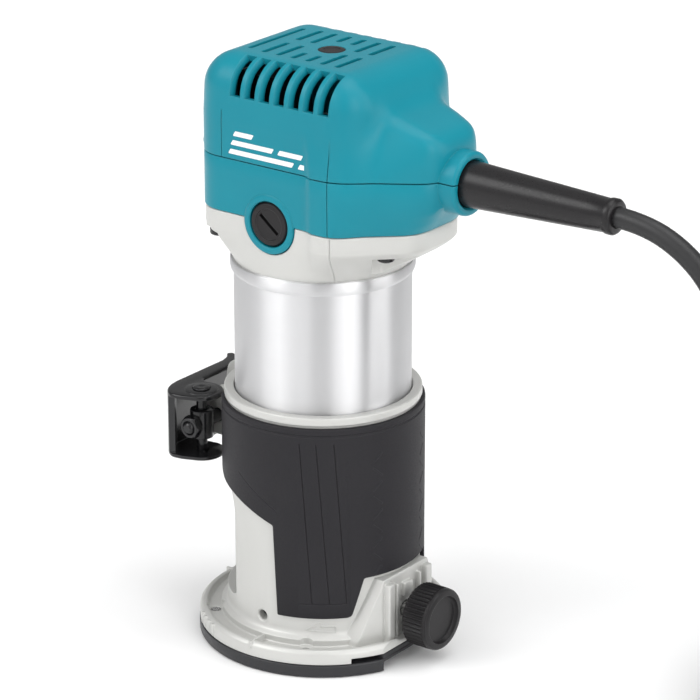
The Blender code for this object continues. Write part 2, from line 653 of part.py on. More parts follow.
def front_ledge(name):
    """A rounded ledge across the front face, at the seam."""
    return prism(name, [(-36.4 + 4.8 * cos(a), SEAM_Z - 0.6 + 4.6 * sin(a))
                        for a in [2 * pi * i / 14 for i in range(14)]], "Y", -21.0, 21.0)


LOWER_FOOT_PLAN = (-34.4, 36.5, 33.3, 13.0, 52.2, 12.4)
LOWER_FULL_Z = 180.0           # below here the rear of the lower cover draws in


def lower_cover():
    """The lower moulding: it holds the brushes, the upper bearing and the speed dial."""
    plan = head_outline(*COVER_LEVELS[0][1:])
    room = head_outline(*COVER_LEVELS[0][1:], WALL)
    foot = head_outline(*LOWER_FOOT_PLAN)
    foot_room = head_outline(*LOWER_FOOT_PLAN, WALL)
    cover = loft("lower_cover", [(foot, FLANGE_Z1 + GAP), (plan, LOWER_FULL_Z), (plan, SEAM_Z - 0.2)])
    cut(cover, loft("lower_room", [(foot_room, 150), (foot_room, FLANGE_Z1 + GAP), (room, LOWER_FULL_Z),
                                   (room, 215)]))
    join(cover, collar("lower_collar"), front_ledge("lower_ledge"))
    for side in (-1, 1):
        join(cover, rod("brush_boss_%d" % side, BRUSH_BOSS_R, (BRUSH_X, side * 22.5, BRUSH_Z),
                        (BRUSH_X, side * BRUSH_SEAT_Y, BRUSH_Z), 40))
    join(cover, *pillars("lower", FLANGE_Z1 + GAP, SEAM_Z - 0.2))
    join(cover, block("bearing_bridge", (-13.5, -32.0, 180.0), (13.5, 32.0, 188.8)))
    cut(cover, half_space("above_seam", SEAM_Z - 0.2, True),
        rod("upper_bearing_seat", 9.8, (0, 0, 181.4), (0, 0, 200), 32),
        rod("upper_bearing_hole", 6.0, (0, 0, 170), (0, 0, 200), 24),
        rod("lower_guard_bore", GUARD_R0 + GAP, (57.0, 0, COLLAR_Z), (80, 0, COLLAR_Z), 28),
        rod("lower_cord_way", 10.6, (40.0, 0, COLLAR_Z), (58.2, 0, COLLAR_Z), 28),
        block("dial_slot", (-42, -9.8, 175.2), (-30, 9.8, 182.8)))
    for side in (-1, 1):
        cut(cover, rod("holder_bore_%d" % side, 6.8, (BRUSH_X, side * 20, BRUSH_Z),
                       (BRUSH_X, side * 40, BRUSH_Z), 24),
            rod("cap_seat_%d" % side, 8.5, (BRUSH_X, side * 30.4, BRUSH_Z),
                (BRUSH_X, side * 40, BRUSH_Z), 32))
    cut(cover, *screw_holes("lower", 160, 200))
    return show(cover, TEAL, MOTOR)


def upper_cover():
    """The top moulding, open below, with its side and top vents and the upper half collar."""
    cover = loft("upper_cover", cover_sections(0.0))
    room = cover_sections(WALL)
    room = [(room[0][0], 150.0)] + [(outline, z - (0.0 if z < 204 else WALL))
                                    for outline, z in room]
    room[1] = (room[1][0], SEAM_Z + 0.2)
    cut(cover, loft("upper_room", room))
    join(cover, collar("upper_collar"), front_ledge("upper_ledge"))
    join(cover, *pillars("upper", SEAM_Z + 0.2, 201.0))
    cut(cover, half_space("below_seam", SEAM_Z + 0.2, False),
        rod("upper_guard_bore", GUARD_R0 + GAP, (57.0, 0, COLLAR_Z), (80, 0, COLLAR_Z), 28),
        rod("upper_cord_way", 10.6, (40.0, 0, COLLAR_Z), (58.2, 0, COLLAR_Z), 28),
        block("switch_window", (-40, -8.6, 195.6), (-30, 8.6, 213.4)))
    cut(cover, *screw_holes("upper", 180, 198.4), vents())
    return show(cover, TEAL, MOTOR)


VENT_PITCH, VENT_WIDTH = 6.5, 3.0
VENT_X0 = -13.9
DISC_X, DISC_R = 4.2, 5.0


def vents():
    """Seven slots over each shoulder, two rows of slots in the top and one long one in front."""
    boxes = []
    for i in range(7):
        x = VENT_X0 + VENT_PITCH * i
        for side in (-1, 1):
            boxes.append((x, VENT_WIDTH, side * 21.8, side * 40.0, 212.3, 240.0))
    for i in range(6):
        x = VENT_X0 - 2.0 + VENT_PITCH * (i + 0.4)
        start = 9.0 if abs(x - DISC_X) < 8.0 else 2.4
        for side in (-1, 1):
            boxes.append((x, 2.4, side * start, side * 17.2, 218.0, 240.0))
    boxes.append((-20.4, 2.0, -16.0, 16.0, 218.0, 240.0))
    bm = bmesh.new()
    for x, width, y0, y1, z0, z1 in boxes:
        made = bmesh.ops.create_cube(bm, size=1.0)
        size = Vector((width, abs(y1 - y0), z1 - z0))
        bmesh.ops.scale(bm, verts=made["verts"], vec=size * MM)
        centre = Vector((x, (y0 + y1) / 2, (z0 + z1) / 2))
        bmesh.ops.translate(bm, verts=made["verts"], vec=centre * MM)
    return from_bmesh("vents", bm)


# ---------------------------------------------------------------- inside the motor unit
def brush_gear():
    """On each side: a holder, the carbon brush, its spring and the slotted cap."""
    for side, word in ((-1, "left"), (1, "right")):
        def at(y):
            return (BRUSH_X, side * y, BRUSH_Z)
        holder = rod("brush_holder_" + word, 6.4, at(14.0), at(30.0), 24)
        cut(holder, rod("holder_room_" + word, 4.9, at(10.0), at(34.0), 24))
        show(holder, BRASS, MOTOR)
        low = (BRUSH_X - 2.9, min(side * 11.7, side * 20.0), BRUSH_Z - 3.2)
        high = (BRUSH_X + 2.9, max(side * 11.7, side * 20.0), BRUSH_Z + 3.2)
        show(block("carbon_brush_" + word, low, high), CARBON, MOTOR)
        turns, steps, spring_r = 4, 7, 2.8
        coil = [(BRUSH_X + spring_r * cos(2 * pi * i / steps), side * (20.8 + 8.4 * i / (turns * steps)),
                 BRUSH_Z + spring_r * sin(2 * pi * i / steps)) for i in range(turns * steps + 1)]
        show(wire("brush_spring_" + word, coil, 0.35, 1), STEEL, MOTOR)
        cap = rod("brush_cap_" + word, 8.2, at(30.7), at(33.7), 36)
        cut(cap, block("cap_slot_" + word, (BRUSH_X - 5.0, min(side * 32.7, side * 36), BRUSH_Z - 0.7),
                       (BRUSH_X + 5.0, max(side * 32.7, side * 36), BRUSH_Z + 0.7)))
        show(cap, BLACK, MOTOR)


def stator():
    """Laminated core with two poles, and a saddle coil round each pole."""
    core = ring("stator_core", 22.4, 28.1, 92.0, 136.0, 32)
    join(core, block("pole_bar", (-25, -13.6, 92.0), (25, 13.6, 136.0)))
    cut(core, rod("pole_bore", 15.5, (0, 0, 80), (0, 0, 150), 32))
    show(core, IRON, MOTOR)
    for side, word in ((-1, "front"), (1, "rear")):
        coil = ring("field_coil_" + word, 16.4, 21.8, 88.4, 139.6, 28)
        cut(coil, block("coil_half_" + word, (min(side * 0.4, side * -40), -40, 50),
                        (max(side * 0.4, side * -40), 40, 160)),
            block("coil_window_" + word, (min(0, side * 40), -14.2, 91.7),
                  (max(0, side * 40), 14.2, 136.3)))
        show(coil, COPPER, MOTOR)


def bearings():
    show(ring("lower_bearing", 6.1, 13.0, 62.8, 70.4, 24), STEEL, MOTOR)
    show(ring("bearing_retainer", 8.0, 16.6, 74.1, 75.3, 20), STEEL, MOTOR)
    show(ring("upper_bearing", 3.9, 9.5, 181.8, 188.0, 24), STEEL, MOTOR)
    show(ring("fan_baffle", 17.5, 28.1, 86.2, 87.4, 28), BLACK, MOTOR)


def rotor():
    """Everything that spins: shaft, fan, armature, commutator, collet cone and nut."""
    shaft = turned("spindle", [
        (0, 189.0), (3.6, 189.0), (3.6, 180.2), (5.0, 178.0), (SPINDLE_R, 140.0), (SPINDLE_R, 60.0),
        (6.4, 58.0), (6.4, 46.0), (5.4, 45.0), (5.4, 40.4), (3.4, 40.4), (3.4, 56.0), (0, 56.0)], 24)
    show(shaft, STEEL, SPINDLE)
    nut = rod("collet_nut", 12.0, (0, 0, 36.5), (0, 0, 50.5), 6)
    cut(nut, rod("nut_room", 6.9, (0, 0, 40.0), (0, 0, 60), 24),
        rod("nut_mouth", 4.4, (0, 0, 20), (0, 0, 60), 24))
    show(nut, BLACK_STEEL, SPINDLE)
    cone = ring("collet_cone", 1.9, 3.0, 37.6, 54.0, 20)
    show(cone, STEEL, SPINDLE)
    core = ring("armature_core", 9.1, 14.9, 97.0, 131.0, 24)
    show(core, IRON, SPINDLE)
    windings = turned("armature_windings", [
        (8.8, 139.0), (12.6, 137.6), (13.8, 134.0), (13.0, 131.4), (8.7, 131.4), (8.7, 96.6),
        (13.0, 96.6), (13.8, 94.0), (12.6, 90.6), (8.8, 89.6), (6.1, 89.6), (6.1, 139.0)],
        24, closed=True)
    show(windings, COPPER, SPINDLE)
    show(ring("commutator", 6.1, 11.2, 158.5, 178.5, 24), COPPER, SPINDLE)
    show(fan(), BLACK, SPINDLE)


def fan():
    """A hub and backplate with twelve straight blades."""
    wheel = turned("cooling_fan", [
        (9.6, 84.6), (10.2, 78.2), (25.6, 78.2), (25.6, 77.0), (6.1, 77.0), (6.1, 84.6)],
        28, closed=True)
    bm = bmesh.new()
    for i in range(12):
        made = bmesh.ops.create_cube(bm, size=1.0)
        bmesh.ops.scale(bm, verts=made["verts"], vec=Vector((15.6, 1.2, 6.6)) * MM)
        bmesh.ops.translate(bm, verts=made["verts"], vec=Vector((17.4, 0, 81.0)) * MM)
        bmesh.ops.rotate(bm, verts=made["verts"], cent=(0, 0, 0),
                         matrix=Matrix.Rotation(2 * pi * i / 12, 3, "Z"))
    join(wheel, from_bmesh("fan_blades", bm))
    return wheel


def electrics():
    """Switch with its rocker, speed dial and its module, and the clamp on the cord."""
    show(block("switch_body", (-30.0, -10.2, 195.0), (-13.0, 10.2, 214.0)), BLACK, MOTOR)
    face = [(-31.2, 196.4), (-31.2, 212.6), (-35.2, 212.6), (-36.2, 209.0), (-35.0, 204.5),
            (-36.2, 200.0), (-35.2, 196.4)]
    show(prism("switch_rocker", face, "Y", -8.0, 8.0), BLACK, SWITCH)
    dial = knurled_disc("speed_dial", 10.4, 5.6, 24)
    show(dial, WHITE, DIAL)
    show(block("speed_module", (-31.0, -14.0, 183.4), (-15.0, 14.0, 188.6)), BLACK, MOTOR)
    show(block("cord_clamp", (43.6, -17.0, 179.6), (48.6, 17.0, 183.0)), BLACK, MOTOR)


def knurled_disc(name, radius, thickness, ribs):
    """The edge-on thumb wheel of the speed control."""
    outline = [((radius - 0.4 * (i % 2)) * cos(pi * i / ribs),
                (radius - 0.4 * (i % 2)) * sin(pi * i / ribs)) for i in range(ribs * 2)]
    disc = prism(name, outline, "Z", 0, thickness)
    disc.location = Vector((-27.5, 0, 176.2)) * MM
    return disc


CORD_R = CORD_D / 2
#             inside the head, out of the guard, a fall in one easy curve, along the floor
CORD_ROUTE = [(42.0, 0.0, 187.5), (84.0, 0.0, 187.5), (126.0, 0.0, 187.5), (138.5, 0.0, 186.2),
              (150.0, 0.0, 181.8), (160.2, 0.0, 174.2), (167.8, 0.0, 163.6), (172.6, 0.0, 150.5),
              (175.0, 0.0, 134.0), (176.0, 0.0, 115.0), (176.8, 0.0, 95.0), (178.2, 0.0, 75.0),
              (181.2, -0.2, 55.0), (186.6, -0.6, 36.5), (194.5, -1.2, 20.5), (204.0, -1.6, 9.6),
              (215.0, 1.7, 4.3), (227.0, 9.0, CORD_R)]
PLUG_X, PLUG_Y, PLUG_Z = COIL_X + 33.5, COIL_Y - 14.0, COIL_H + GAP


def cord_parts():
    """Guard, the cord's free stretch, the wound rest of it and the plug on top of the coil."""
    guard = turned("cord_guard", [
        (GUARD_R1, GUARD_X1), (GUARD_R0, GUARD_X0 + 6), (GUARD_R0, GUARD_X0 - 2.6),
        (10.2, GUARD_X0 - 2.6), (10.2, GUARD_X0 - 6.2), (CORD_R + GAP, GUARD_X0 - 6.2),
        (CORD_R + GAP, GUARD_X1)], 24, closed=True)
    guard.rotation_euler = (0, pi / 2, 0)
    guard.location = Vector((0, 0, COLLAR_Z)) * MM
    show(guard, RUBBER, MOTOR)
    show(wire("power_cord", smooth_path(CORD_ROUTE, 2 * CORD_D), CORD_R), RUBBER, MOTOR)
    show(ring("cord_coil", COIL_R0, COIL_R1, 0.0, COIL_H, 40, (COIL_X, COIL_Y)), RUBBER, BASE)
    plug()


def plug():
    """A round-pin plug on top of the coil, its cable end towards -Y."""
    half = [(5.0, 0.0), (7.0, 4.0), (11.0, 9.0), (12.0, 18.0), (12.8, 30.0), (13.6, 35.5), (13.0, 37.0)]
    outline = [(PLUG_X + x, PLUG_Y + y) for x, y in half]
    outline += [(PLUG_X - x, PLUG_Y + y) for x, y in reversed(half)]
    body_piece = prism("plug_body", outline, "Z", PLUG_Z, PLUG_Z + 13.0)
    axis_z = PLUG_Z + 6.5
    join(body_piece, rod("plug_sleeve", 4.8, (PLUG_X, PLUG_Y - 14.0, axis_z),
                         (PLUG_X, PLUG_Y + 2.0, axis_z), 16))
    for side in (-1, 1):
        x = PLUG_X + side * 9.5
        cut(body_piece, rod("pin_bore_%d" % side, 2.7, (x, PLUG_Y + 27.0, axis_z),
                            (x, PLUG_Y + 50.0, axis_z), 14))
    show(body_piece, RUBBER, BASE)
    for side, word in ((-1, "a"), (1, "b")):
        x = PLUG_X + side * 9.5
        show(rod("plug_pin_" + word, 2.4, (x, PLUG_Y + 27.4, axis_z),
                 (x, PLUG_Y + 56.0, axis_z), 14), BRASS, BASE)


def build():
    base_casting()
    grip_sleeve()
    sub_base()
    clamp()
    clamp_lever()
    depth_drive()
    guide_clamp()
    motor_housing()
    housing_screws()
    lower_cover()
    upper_cover()
    brush_gear()
    stator()
    bearings()
    rotor()
    electrics()
    cord_parts()


build()
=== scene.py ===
"""Trim router: the finished surfaces of a motor unit in its trimming base.

Shapes are drawn in millimetres in the tool's own frame: Z is the spindle axis with Z = 0 under
the sub-base, +X is the rear (cord, thumb screw) and -X the front (switch, lever, chip window).
The spindle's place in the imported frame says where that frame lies.
"""
from math import atan2, cos, hypot, pi, radians, sin, sqrt, tan

import bmesh
import bpy
import numpy as np
from mathutils import Matrix, Vector

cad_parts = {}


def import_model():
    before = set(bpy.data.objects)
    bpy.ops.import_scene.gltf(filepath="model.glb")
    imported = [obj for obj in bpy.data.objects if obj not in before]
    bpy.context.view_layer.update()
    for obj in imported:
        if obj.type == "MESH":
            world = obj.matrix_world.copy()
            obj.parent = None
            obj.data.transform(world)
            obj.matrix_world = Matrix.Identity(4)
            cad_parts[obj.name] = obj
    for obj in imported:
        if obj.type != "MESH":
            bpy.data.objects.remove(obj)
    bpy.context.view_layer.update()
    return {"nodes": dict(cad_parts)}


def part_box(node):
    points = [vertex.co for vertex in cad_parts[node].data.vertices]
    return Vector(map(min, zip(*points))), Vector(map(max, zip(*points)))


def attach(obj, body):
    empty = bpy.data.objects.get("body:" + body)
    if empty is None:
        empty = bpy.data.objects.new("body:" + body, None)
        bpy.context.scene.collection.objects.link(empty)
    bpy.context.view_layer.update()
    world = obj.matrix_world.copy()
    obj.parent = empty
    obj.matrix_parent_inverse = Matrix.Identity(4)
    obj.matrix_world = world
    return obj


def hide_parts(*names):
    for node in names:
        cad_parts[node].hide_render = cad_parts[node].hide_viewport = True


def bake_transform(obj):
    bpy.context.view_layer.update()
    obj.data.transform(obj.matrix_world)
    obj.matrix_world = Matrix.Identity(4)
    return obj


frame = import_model()

MM = 0.001
SPINDLE_LOW, SPINDLE_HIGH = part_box("spindle")
AXIS = (SPINDLE_LOW + SPINDLE_HIGH) / 2
TO_WORLD = Matrix.Translation((AXIS.x, AXIS.y, 0.0)) @ Matrix.Scale(MM, 4)


def world(x, y, z):
    """A point of the tool's frame, in metres."""
    return TO_WORLD @ Vector((x, y, z))


def node_box(name):
    """A CAD node's lowest and highest corners, in the tool's frame."""
    return [TO_WORLD.inverted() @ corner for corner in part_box(name)]


def upright(x, y, low, high):
    """The two ends of a line along Z."""
    return (x, y, low), (x, y, high)


def sideways(x, z, near, far):
    """The two ends of a line along Y."""
    return (x, near, z), (x, far, z)


def lengthways(y, z, front, rear):
    """The two ends of a line along X."""
    return (front, y, z), (rear, y, z)


# ---------------------------------------------------------------- camera
CAMERA_TURN, CAMERA_PITCH = 37.59, 20.83      # degrees; 0 looks along +Y
CAMERA_YAW = 0.471
CAMERA_DISTANCE, CAMERA_HEIGHT = 1192.4, 564.3
LENS, SENSOR = 179.0, 36.0


def make_camera():
    data = bpy.data.cameras.new("camera")
    data.lens = LENS
    data.sensor_width = SENSOR
    data.clip_end = 20.0
    camera = bpy.data.objects.new("camera", data)
    turn = radians(CAMERA_TURN)
    camera.location = world(CAMERA_DISTANCE * sin(turn), -CAMERA_DISTANCE * cos(turn),
                            CAMERA_HEIGHT)
    camera.rotation_euler = (radians(90 - CAMERA_PITCH), 0, radians(CAMERA_TURN - CAMERA_YAW))
    bpy.context.scene.collection.objects.link(camera)
    bpy.context.scene.camera = camera


make_camera()


# ---------------------------------------------------------------- materials
BEVEL_SAMPLES = 6
EDGE_DOT, WORN_DOT = 0.995, 0.9      # of the softened normal with the face's own


def set_sockets(node, **values):
    """Sets a node's own sockets; an underscore in a name stands for a space."""
    for word, value in values.items():
        node.inputs[word.replace("_", " ")].default_value = value
    return node


def colour_mix(nodes, **colours):
    mix = nodes.new("ShaderNodeMix")
    mix.data_type = "RGBA"
    return set_sockets(mix, **{word: (*colour, 1) for word, colour in colours.items()})


def surface(name, colours, rough, metallic=0.0, blotch=30.0, grain=900.0, bump=0.08, worn=None,
            bevel=0.35, specular=0.5, stretch=(1, 1, 1), anisotropic=0.0, depth=0.02):
    """A finish whose colour, roughness and relief vary, with softened and slightly worn edges."""
    made = bpy.data.materials.new(name)
    made.use_nodes = True
    nodes, links = made.node_tree.nodes, made.node_tree.links
    shader = set_sockets(nodes["Principled BSDF"], Metallic=metallic, Specular_IOR_Level=specular,
                         Anisotropic=anisotropic)
    coords = nodes.new("ShaderNodeTexCoord")
    mapping = set_sockets(nodes.new("ShaderNodeMapping"), Scale=stretch)
    links.new(coords.outputs["Object"], mapping.inputs["Vector"])

    def noise(scale, detail):
        made_noise = set_sockets(nodes.new("ShaderNodeTexNoise"), Scale=scale, Detail=detail)
        links.new(mapping.outputs["Vector"], made_noise.inputs["Vector"])
        return made_noise.outputs["Fac"]

    broad, fine = noise(blotch, 3.0), noise(grain, 4.0)
    mix = colour_mix(nodes, A=colours[0], B=colours[1])
    links.new(broad, mix.inputs["Factor"])
    colour = mix.outputs["Result"]
    edges = set_sockets(nodes.new("ShaderNodeBevel"), Radius=bevel * MM)
    edges.samples = BEVEL_SAMPLES
    if worn:
        colour = worn_edges(nodes, links, edges, colour, worn, fine)
    links.new(colour, shader.inputs["Base Color"])
    spread = set_sockets(nodes.new("ShaderNodeMapRange"), From_Min=0.3, From_Max=0.7,
                         To_Min=rough[0], To_Max=rough[1])
    links.new(fine, spread.inputs["Value"])
    links.new(spread.outputs["Result"], shader.inputs["Roughness"])
    relief = set_sockets(nodes.new("ShaderNodeBump"), Strength=bump, Distance=depth * MM)
    links.new(fine, relief.inputs["Height"])
    links.new(edges.outputs["Normal"], relief.inputs["Normal"])
    links.new(relief.outputs["Normal"], shader.inputs["Normal"])
    if anisotropic:
        set_sockets(shader, Anisotropic_Rotation=0.25)
        tangent = nodes.new("ShaderNodeTangent")
        tangent.direction_type = "RADIAL"
        tangent.axis = "Z"
        links.new(tangent.outputs["Tangent"], shader.inputs["Tangent"])
    return made


def worn_edges(nodes, links, edges, colour, worn, fine):
    """Mixes the worn colour in along convex and concave edges, broken up by grain."""
    geometry = nodes.new("ShaderNodeNewGeometry")
    dot = nodes.new("ShaderNodeVectorMath")
    dot.operation = "DOT_PRODUCT"
    links.new(edges.outputs["Normal"], dot.inputs[0])
    links.new(geometry.outputs["Normal"], dot.inputs[1])
    mask = set_sockets(nodes.new("ShaderNodeMapRange"), From_Min=EDGE_DOT, From_Max=WORN_DOT,
                       To_Max=worn[1])
    links.new(dot.outputs["Value"], mask.inputs["Value"])
    broken = nodes.new("ShaderNodeMath")
    broken.operation = "MULTIPLY"
    links.new(mask.outputs["Result"], broken.inputs[0])
    links.new(fine, broken.inputs[1])
    mix = colour_mix(nodes, B=worn[0])
    links.new(broken.outputs["Value"], mix.inputs["Factor"])
    links.new(colour, mix.inputs["A"])
    return mix.outputs["Result"]


TEAL = surface("teal_moulding", [(0.004, 0.205, 0.272), (0.008, 0.240, 0.308)], (0.28, 0.38),
               grain=1400, bump=0.25, worn=((0.05, 0.35, 0.41), 0.7), bevel=0.5, specular=0.22)
CAST = surface("cast_silver", [(0.545, 0.545, 0.525), (0.61, 0.61, 0.59)], (0.34, 0.50), 0.35,
               grain=2600, bump=0.35, worn=((0.80, 0.80, 0.78), 0.7), bevel=0.6)
TUBE = surface("turned_aluminium", [(0.76, 0.76, 0.77), (0.80, 0.80, 0.81)], (0.40, 0.46), 1.0,
               blotch=8, grain=420, bump=0.04, stretch=(1, 1, 9), anisotropic=1.0, bevel=0.3,
               depth=0.001)
RUBBER = surface("grip_elastomer", [(0.012, 0.011, 0.014), (0.018, 0.017, 0.020)], (0.50, 0.64),
                 grain=2200, bump=0.4, worn=((0.065, 0.063, 0.07), 0.6), bevel=0.4, specular=0.28)
PLATE = surface("sub_base_plastic", [(0.013, 0.013, 0.016), (0.019, 0.019, 0.022)], (0.32, 0.5),
                grain=1600, bump=0.25, worn=((0.07, 0.07, 0.075), 0.6), bevel=0.4)
KNOB = surface("knob_plastic", [(0.009, 0.008, 0.009), (0.014, 0.013, 0.014)], (0.34, 0.46),
               grain=1800, bump=0.3, worn=((0.10, 0.10, 0.105), 0.55), bevel=0.35, specular=0.28)
GLOSS = surface("black_oxide_steel", [(0.005, 0.005, 0.006), (0.010, 0.010, 0.011)], (0.12, 0.22),
                grain=1200, bump=0.15, worn=((0.14, 0.14, 0.15), 0.6), bevel=0.3, specular=0.45)
STEEL = surface("bright_steel", [(0.46, 0.46, 0.46), (0.56, 0.56, 0.55)], (0.2, 0.34), 1.0,
                grain=1500, bump=0.2, worn=((0.75, 0.75, 0.75), 0.5), bevel=0.2)
IRON = surface("lamination_steel", [(0.16, 0.16, 0.165), (0.24, 0.24, 0.245)], (0.4, 0.6), 0.9,
               grain=700, bump=0.3, stretch=(1, 1, 6), bevel=0.2)
COPPER = surface("winding_copper", [(0.58, 0.21, 0.08), (0.74, 0.32, 0.15)], (0.25, 0.42), 1.0,
                 grain=1100, bump=0.6, stretch=(1, 1, 3), bevel=0.3)
BRASS = surface("brass", [(0.68, 0.47, 0.17), (0.78, 0.57, 0.25)], (0.2, 0.34), 1.0, grain=1200,
                bump=0.2, bevel=0.3)
CARBON = surface("brush_carbon", [(0.02, 0.02, 0.021), (0.04, 0.04, 0.042)], (0.5, 0.7),
                 grain=2600, bump=0.5)
WHITE = surface("white_mark", [(0.82, 0.83, 0.83), (0.88, 0.89, 0.89)], (0.34, 0.44), grain=1500,
                bump=0.15, bevel=0.15)
DIAL = surface("dial_plastic", [(0.62, 0.62, 0.59), (0.70, 0.70, 0.67)], (0.38, 0.48), grain=1500,
               bump=0.2, worn=((0.8, 0.8, 0.78), 0.5), bevel=0.3)
CORD = surface("cord_jacket", [(0.010, 0.010, 0.011), (0.016, 0.016, 0.017)], (0.36, 0.5),
               grain=1500, bump=0.35, bevel=0.3)
GUARD = surface("guard_rubber", [(0.008, 0.007, 0.008), (0.013, 0.012, 0.013)], (0.26, 0.38),
                grain=1500, bump=0.3, worn=((0.06, 0.06, 0.062), 0.5), bevel=0.4, specular=0.35)


# ---------------------------------------------------------------- mesh helpers, millimetres
def add(obj):
    bpy.context.scene.collection.objects.link(obj)
    return obj


def band(bm, low, high):
    """Faces between two closed rings of vertices."""
    for i in range(len(low)):
        j = (i + 1) % len(low)
        bm.faces.new((low[i], low[j], high[j], high[i]))


def spokes(angles, lift=0.0):
    """Directions round the upright axis, lifted by an angle."""
    return np.stack([np.cos(angles) * cos(lift), np.sin(angles) * cos(lift),
                     np.full(len(angles), sin(lift))], 1)


def ring_angles(count):
    return np.linspace(0, 2 * pi, count, endpoint=False)


def eased(share):
    return share * share * (3 - 2 * share)


def polar(centre, radius, angle, z):
    """A point at a height, round a centre."""
    return Vector((centre.x + radius * cos(angle), centre.y + radius * sin(angle), z))


def mesh_object(name, bm):
    mesh = bpy.data.meshes.new(name)
    bmesh.ops.recalc_face_normals(bm, faces=bm.faces)
    bm.to_mesh(mesh)
    bm.free()
    return add(bpy.data.objects.new(name, mesh))


def settle(obj):
    """Applies the modifiers and the object's own transform to its mesh."""
    bpy.context.view_layer.update()
    found = obj.evaluated_get(bpy.context.evaluated_depsgraph_get())
    mesh = bpy.data.meshes.new_from_object(found)
    obj.modifiers.clear()
    old, obj.data = obj.data, mesh
    bpy.data.meshes.remove(old)
    mesh.transform(obj.matrix_world)
    obj.matrix_world = Matrix.Identity(4)
    return obj


def boolean(obj, operation, *others):
    for other in others:
        step = obj.modifiers.new(other.name, "BOOLEAN")
        step.operation = operation
        step.object = other
    settle(obj)
    for other in others:
        bpy.data.objects.remove(other, do_unlink=True)
    return obj


def cut(obj, *others):
    return boolean(obj, "DIFFERENCE", *others)


def join(obj, *others):
    return boolean(obj, "UNION", *others)


def bevelled(obj, width, segments=2, angle=40):
    step = obj.modifiers.new("bevel", "BEVEL")
    step.width = width
    step.segments = segments
    step.limit_method = "ANGLE"
    step.angle_limit = radians(angle)
    return settle(obj)


def piece(obj, finish, body, replaced=(), angle=32):
    """Puts a finished shape in the frame, on its body, standing for its CAD nodes."""
    settle(obj)
    obj.data.transform(TO_WORLD)
    obj.data.materials.clear()
    obj.data.materials.append(finish)
    obj.data.shade_smooth()
    obj.data.set_sharp_from_angle(angle=radians(angle))
    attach(obj, body)
    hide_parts(*replaced)
    return obj


def block(name, low, high):
    low, high = Vector(low), Vector(high)
    bm = bmesh.new()
    bmesh.ops.create_cube(bm, size=1.0)
    bmesh.ops.scale(bm, vec=high - low, verts=bm.verts)
    bmesh.ops.translate(bm, vec=(low + high) / 2, verts=bm.verts)
    return mesh_object(name, bm)


def spun(name, profile, start, end, steps=96):
    """A closed profile of (distance along, radius) turned about the line from start to end."""
    start, end = Vector(start), Vector(end)
    turn = (end - start).to_track_quat("Z", "Y").to_matrix()
    bm = bmesh.new()
    loops = []
    for i in range(steps):
        angle = 2 * pi * i / steps
        loops.append([bm.verts.new(start + turn @ Vector((r * cos(angle), r * sin(angle), along)))
                      for along, r in profile])
    for i in range(steps):
        band(bm, loops[i], loops[(i + 1) % steps])
    bmesh.ops.remove_doubles(bm, verts=bm.verts, dist=0.0001)
    bmesh.ops.dissolve_degenerate(bm, edges=bm.edges, dist=0.00005)
    return mesh_object(name, bm)


def lathe(name, profile, steps=144):
    """A closed profile of (radius, z) turned about the spindle axis."""
    return spun(name, [(z, r) for r, z in profile], (0, 0, 0), (0, 0, 1), steps)


def rod(name, radius, start, end, sides=48, end_radius=None):
    length = (Vector(end) - Vector(start)).length
    last = radius if end_radius is None else end_radius
    return spun(name, [(0, 0), (0, radius), (length, last), (length, 0)], start, end, sides)


def prism(name, outline, axis, start, end):
    """An outline extruded along an axis: (Y, Z) along X, (X, Z) along Y, (X, Y) along Z."""
    place = {"X": lambda u, v, w: (w, u, v), "Y": lambda u, v, w: (u, w, v),
             "Z": lambda u, v, w: (u, v, w)}[axis]
    bm = bmesh.new()
    face = bm.faces.new([bm.verts.new(place(u, v, start)) for u, v in outline])
    sweep = bmesh.ops.extrude_face_region(bm, geom=[face])
    tips = [item for item in sweep["geom"] if isinstance(item, bmesh.types.BMVert)]
    bmesh.ops.translate(bm, verts=tips, vec=place(0, 0, end - start))
    return mesh_object(name, bm)


def rounded(corners, radii, steps=8):
    """A closed outline with each corner turned into an arc of its own radius."""
    outline = []
    count = len(corners)
    for i, corner in enumerate(corners):
        here = Vector(corner)
        back = (Vector(corners[i - 1]) - here).normalized()
        ahead = (Vector(corners[(i + 1) % count]) - here).normalized()
        half = back.angle(ahead) / 2
        radius = radii[i]
        centre = here + (back + ahead).normalized() * (radius / sin(half))
        first = here + back * (radius / tan(half)) - centre
        last = here + ahead * (radius / tan(half)) - centre
        sweep = first.angle_signed(last)
        for step in range(steps + 1):
            spot = centre + Matrix.Rotation(-sweep * step / steps, 2) @ first
            outline.append((spot.x, spot.y))
    return outline


def rounded_box(u0, v0, u1, v1, radii, steps=8):
    """A rectangle's outline, anticlockwise from its first corner, with its corners rounded."""
    return rounded([(u0, v0), (u1, v0), (u1, v1), (u0, v1)], radii, steps)


def skin(name, loops, closed=False):
    """A skin through loops of points; closed joins the last loop to the first, else it is capped."""
    bm = bmesh.new()
    rows = [[bm.verts.new(point) for point in loop] for loop in loops]
    pairs = list(zip(rows, rows[1:])) + ([(rows[-1], rows[0])] if closed else [])
    for low, high in pairs:
        band(bm, low, high)
    if not closed:
        bm.faces.new(rows[0])
        bm.faces.new(rows[-1])
    return mesh_object(name, bm)


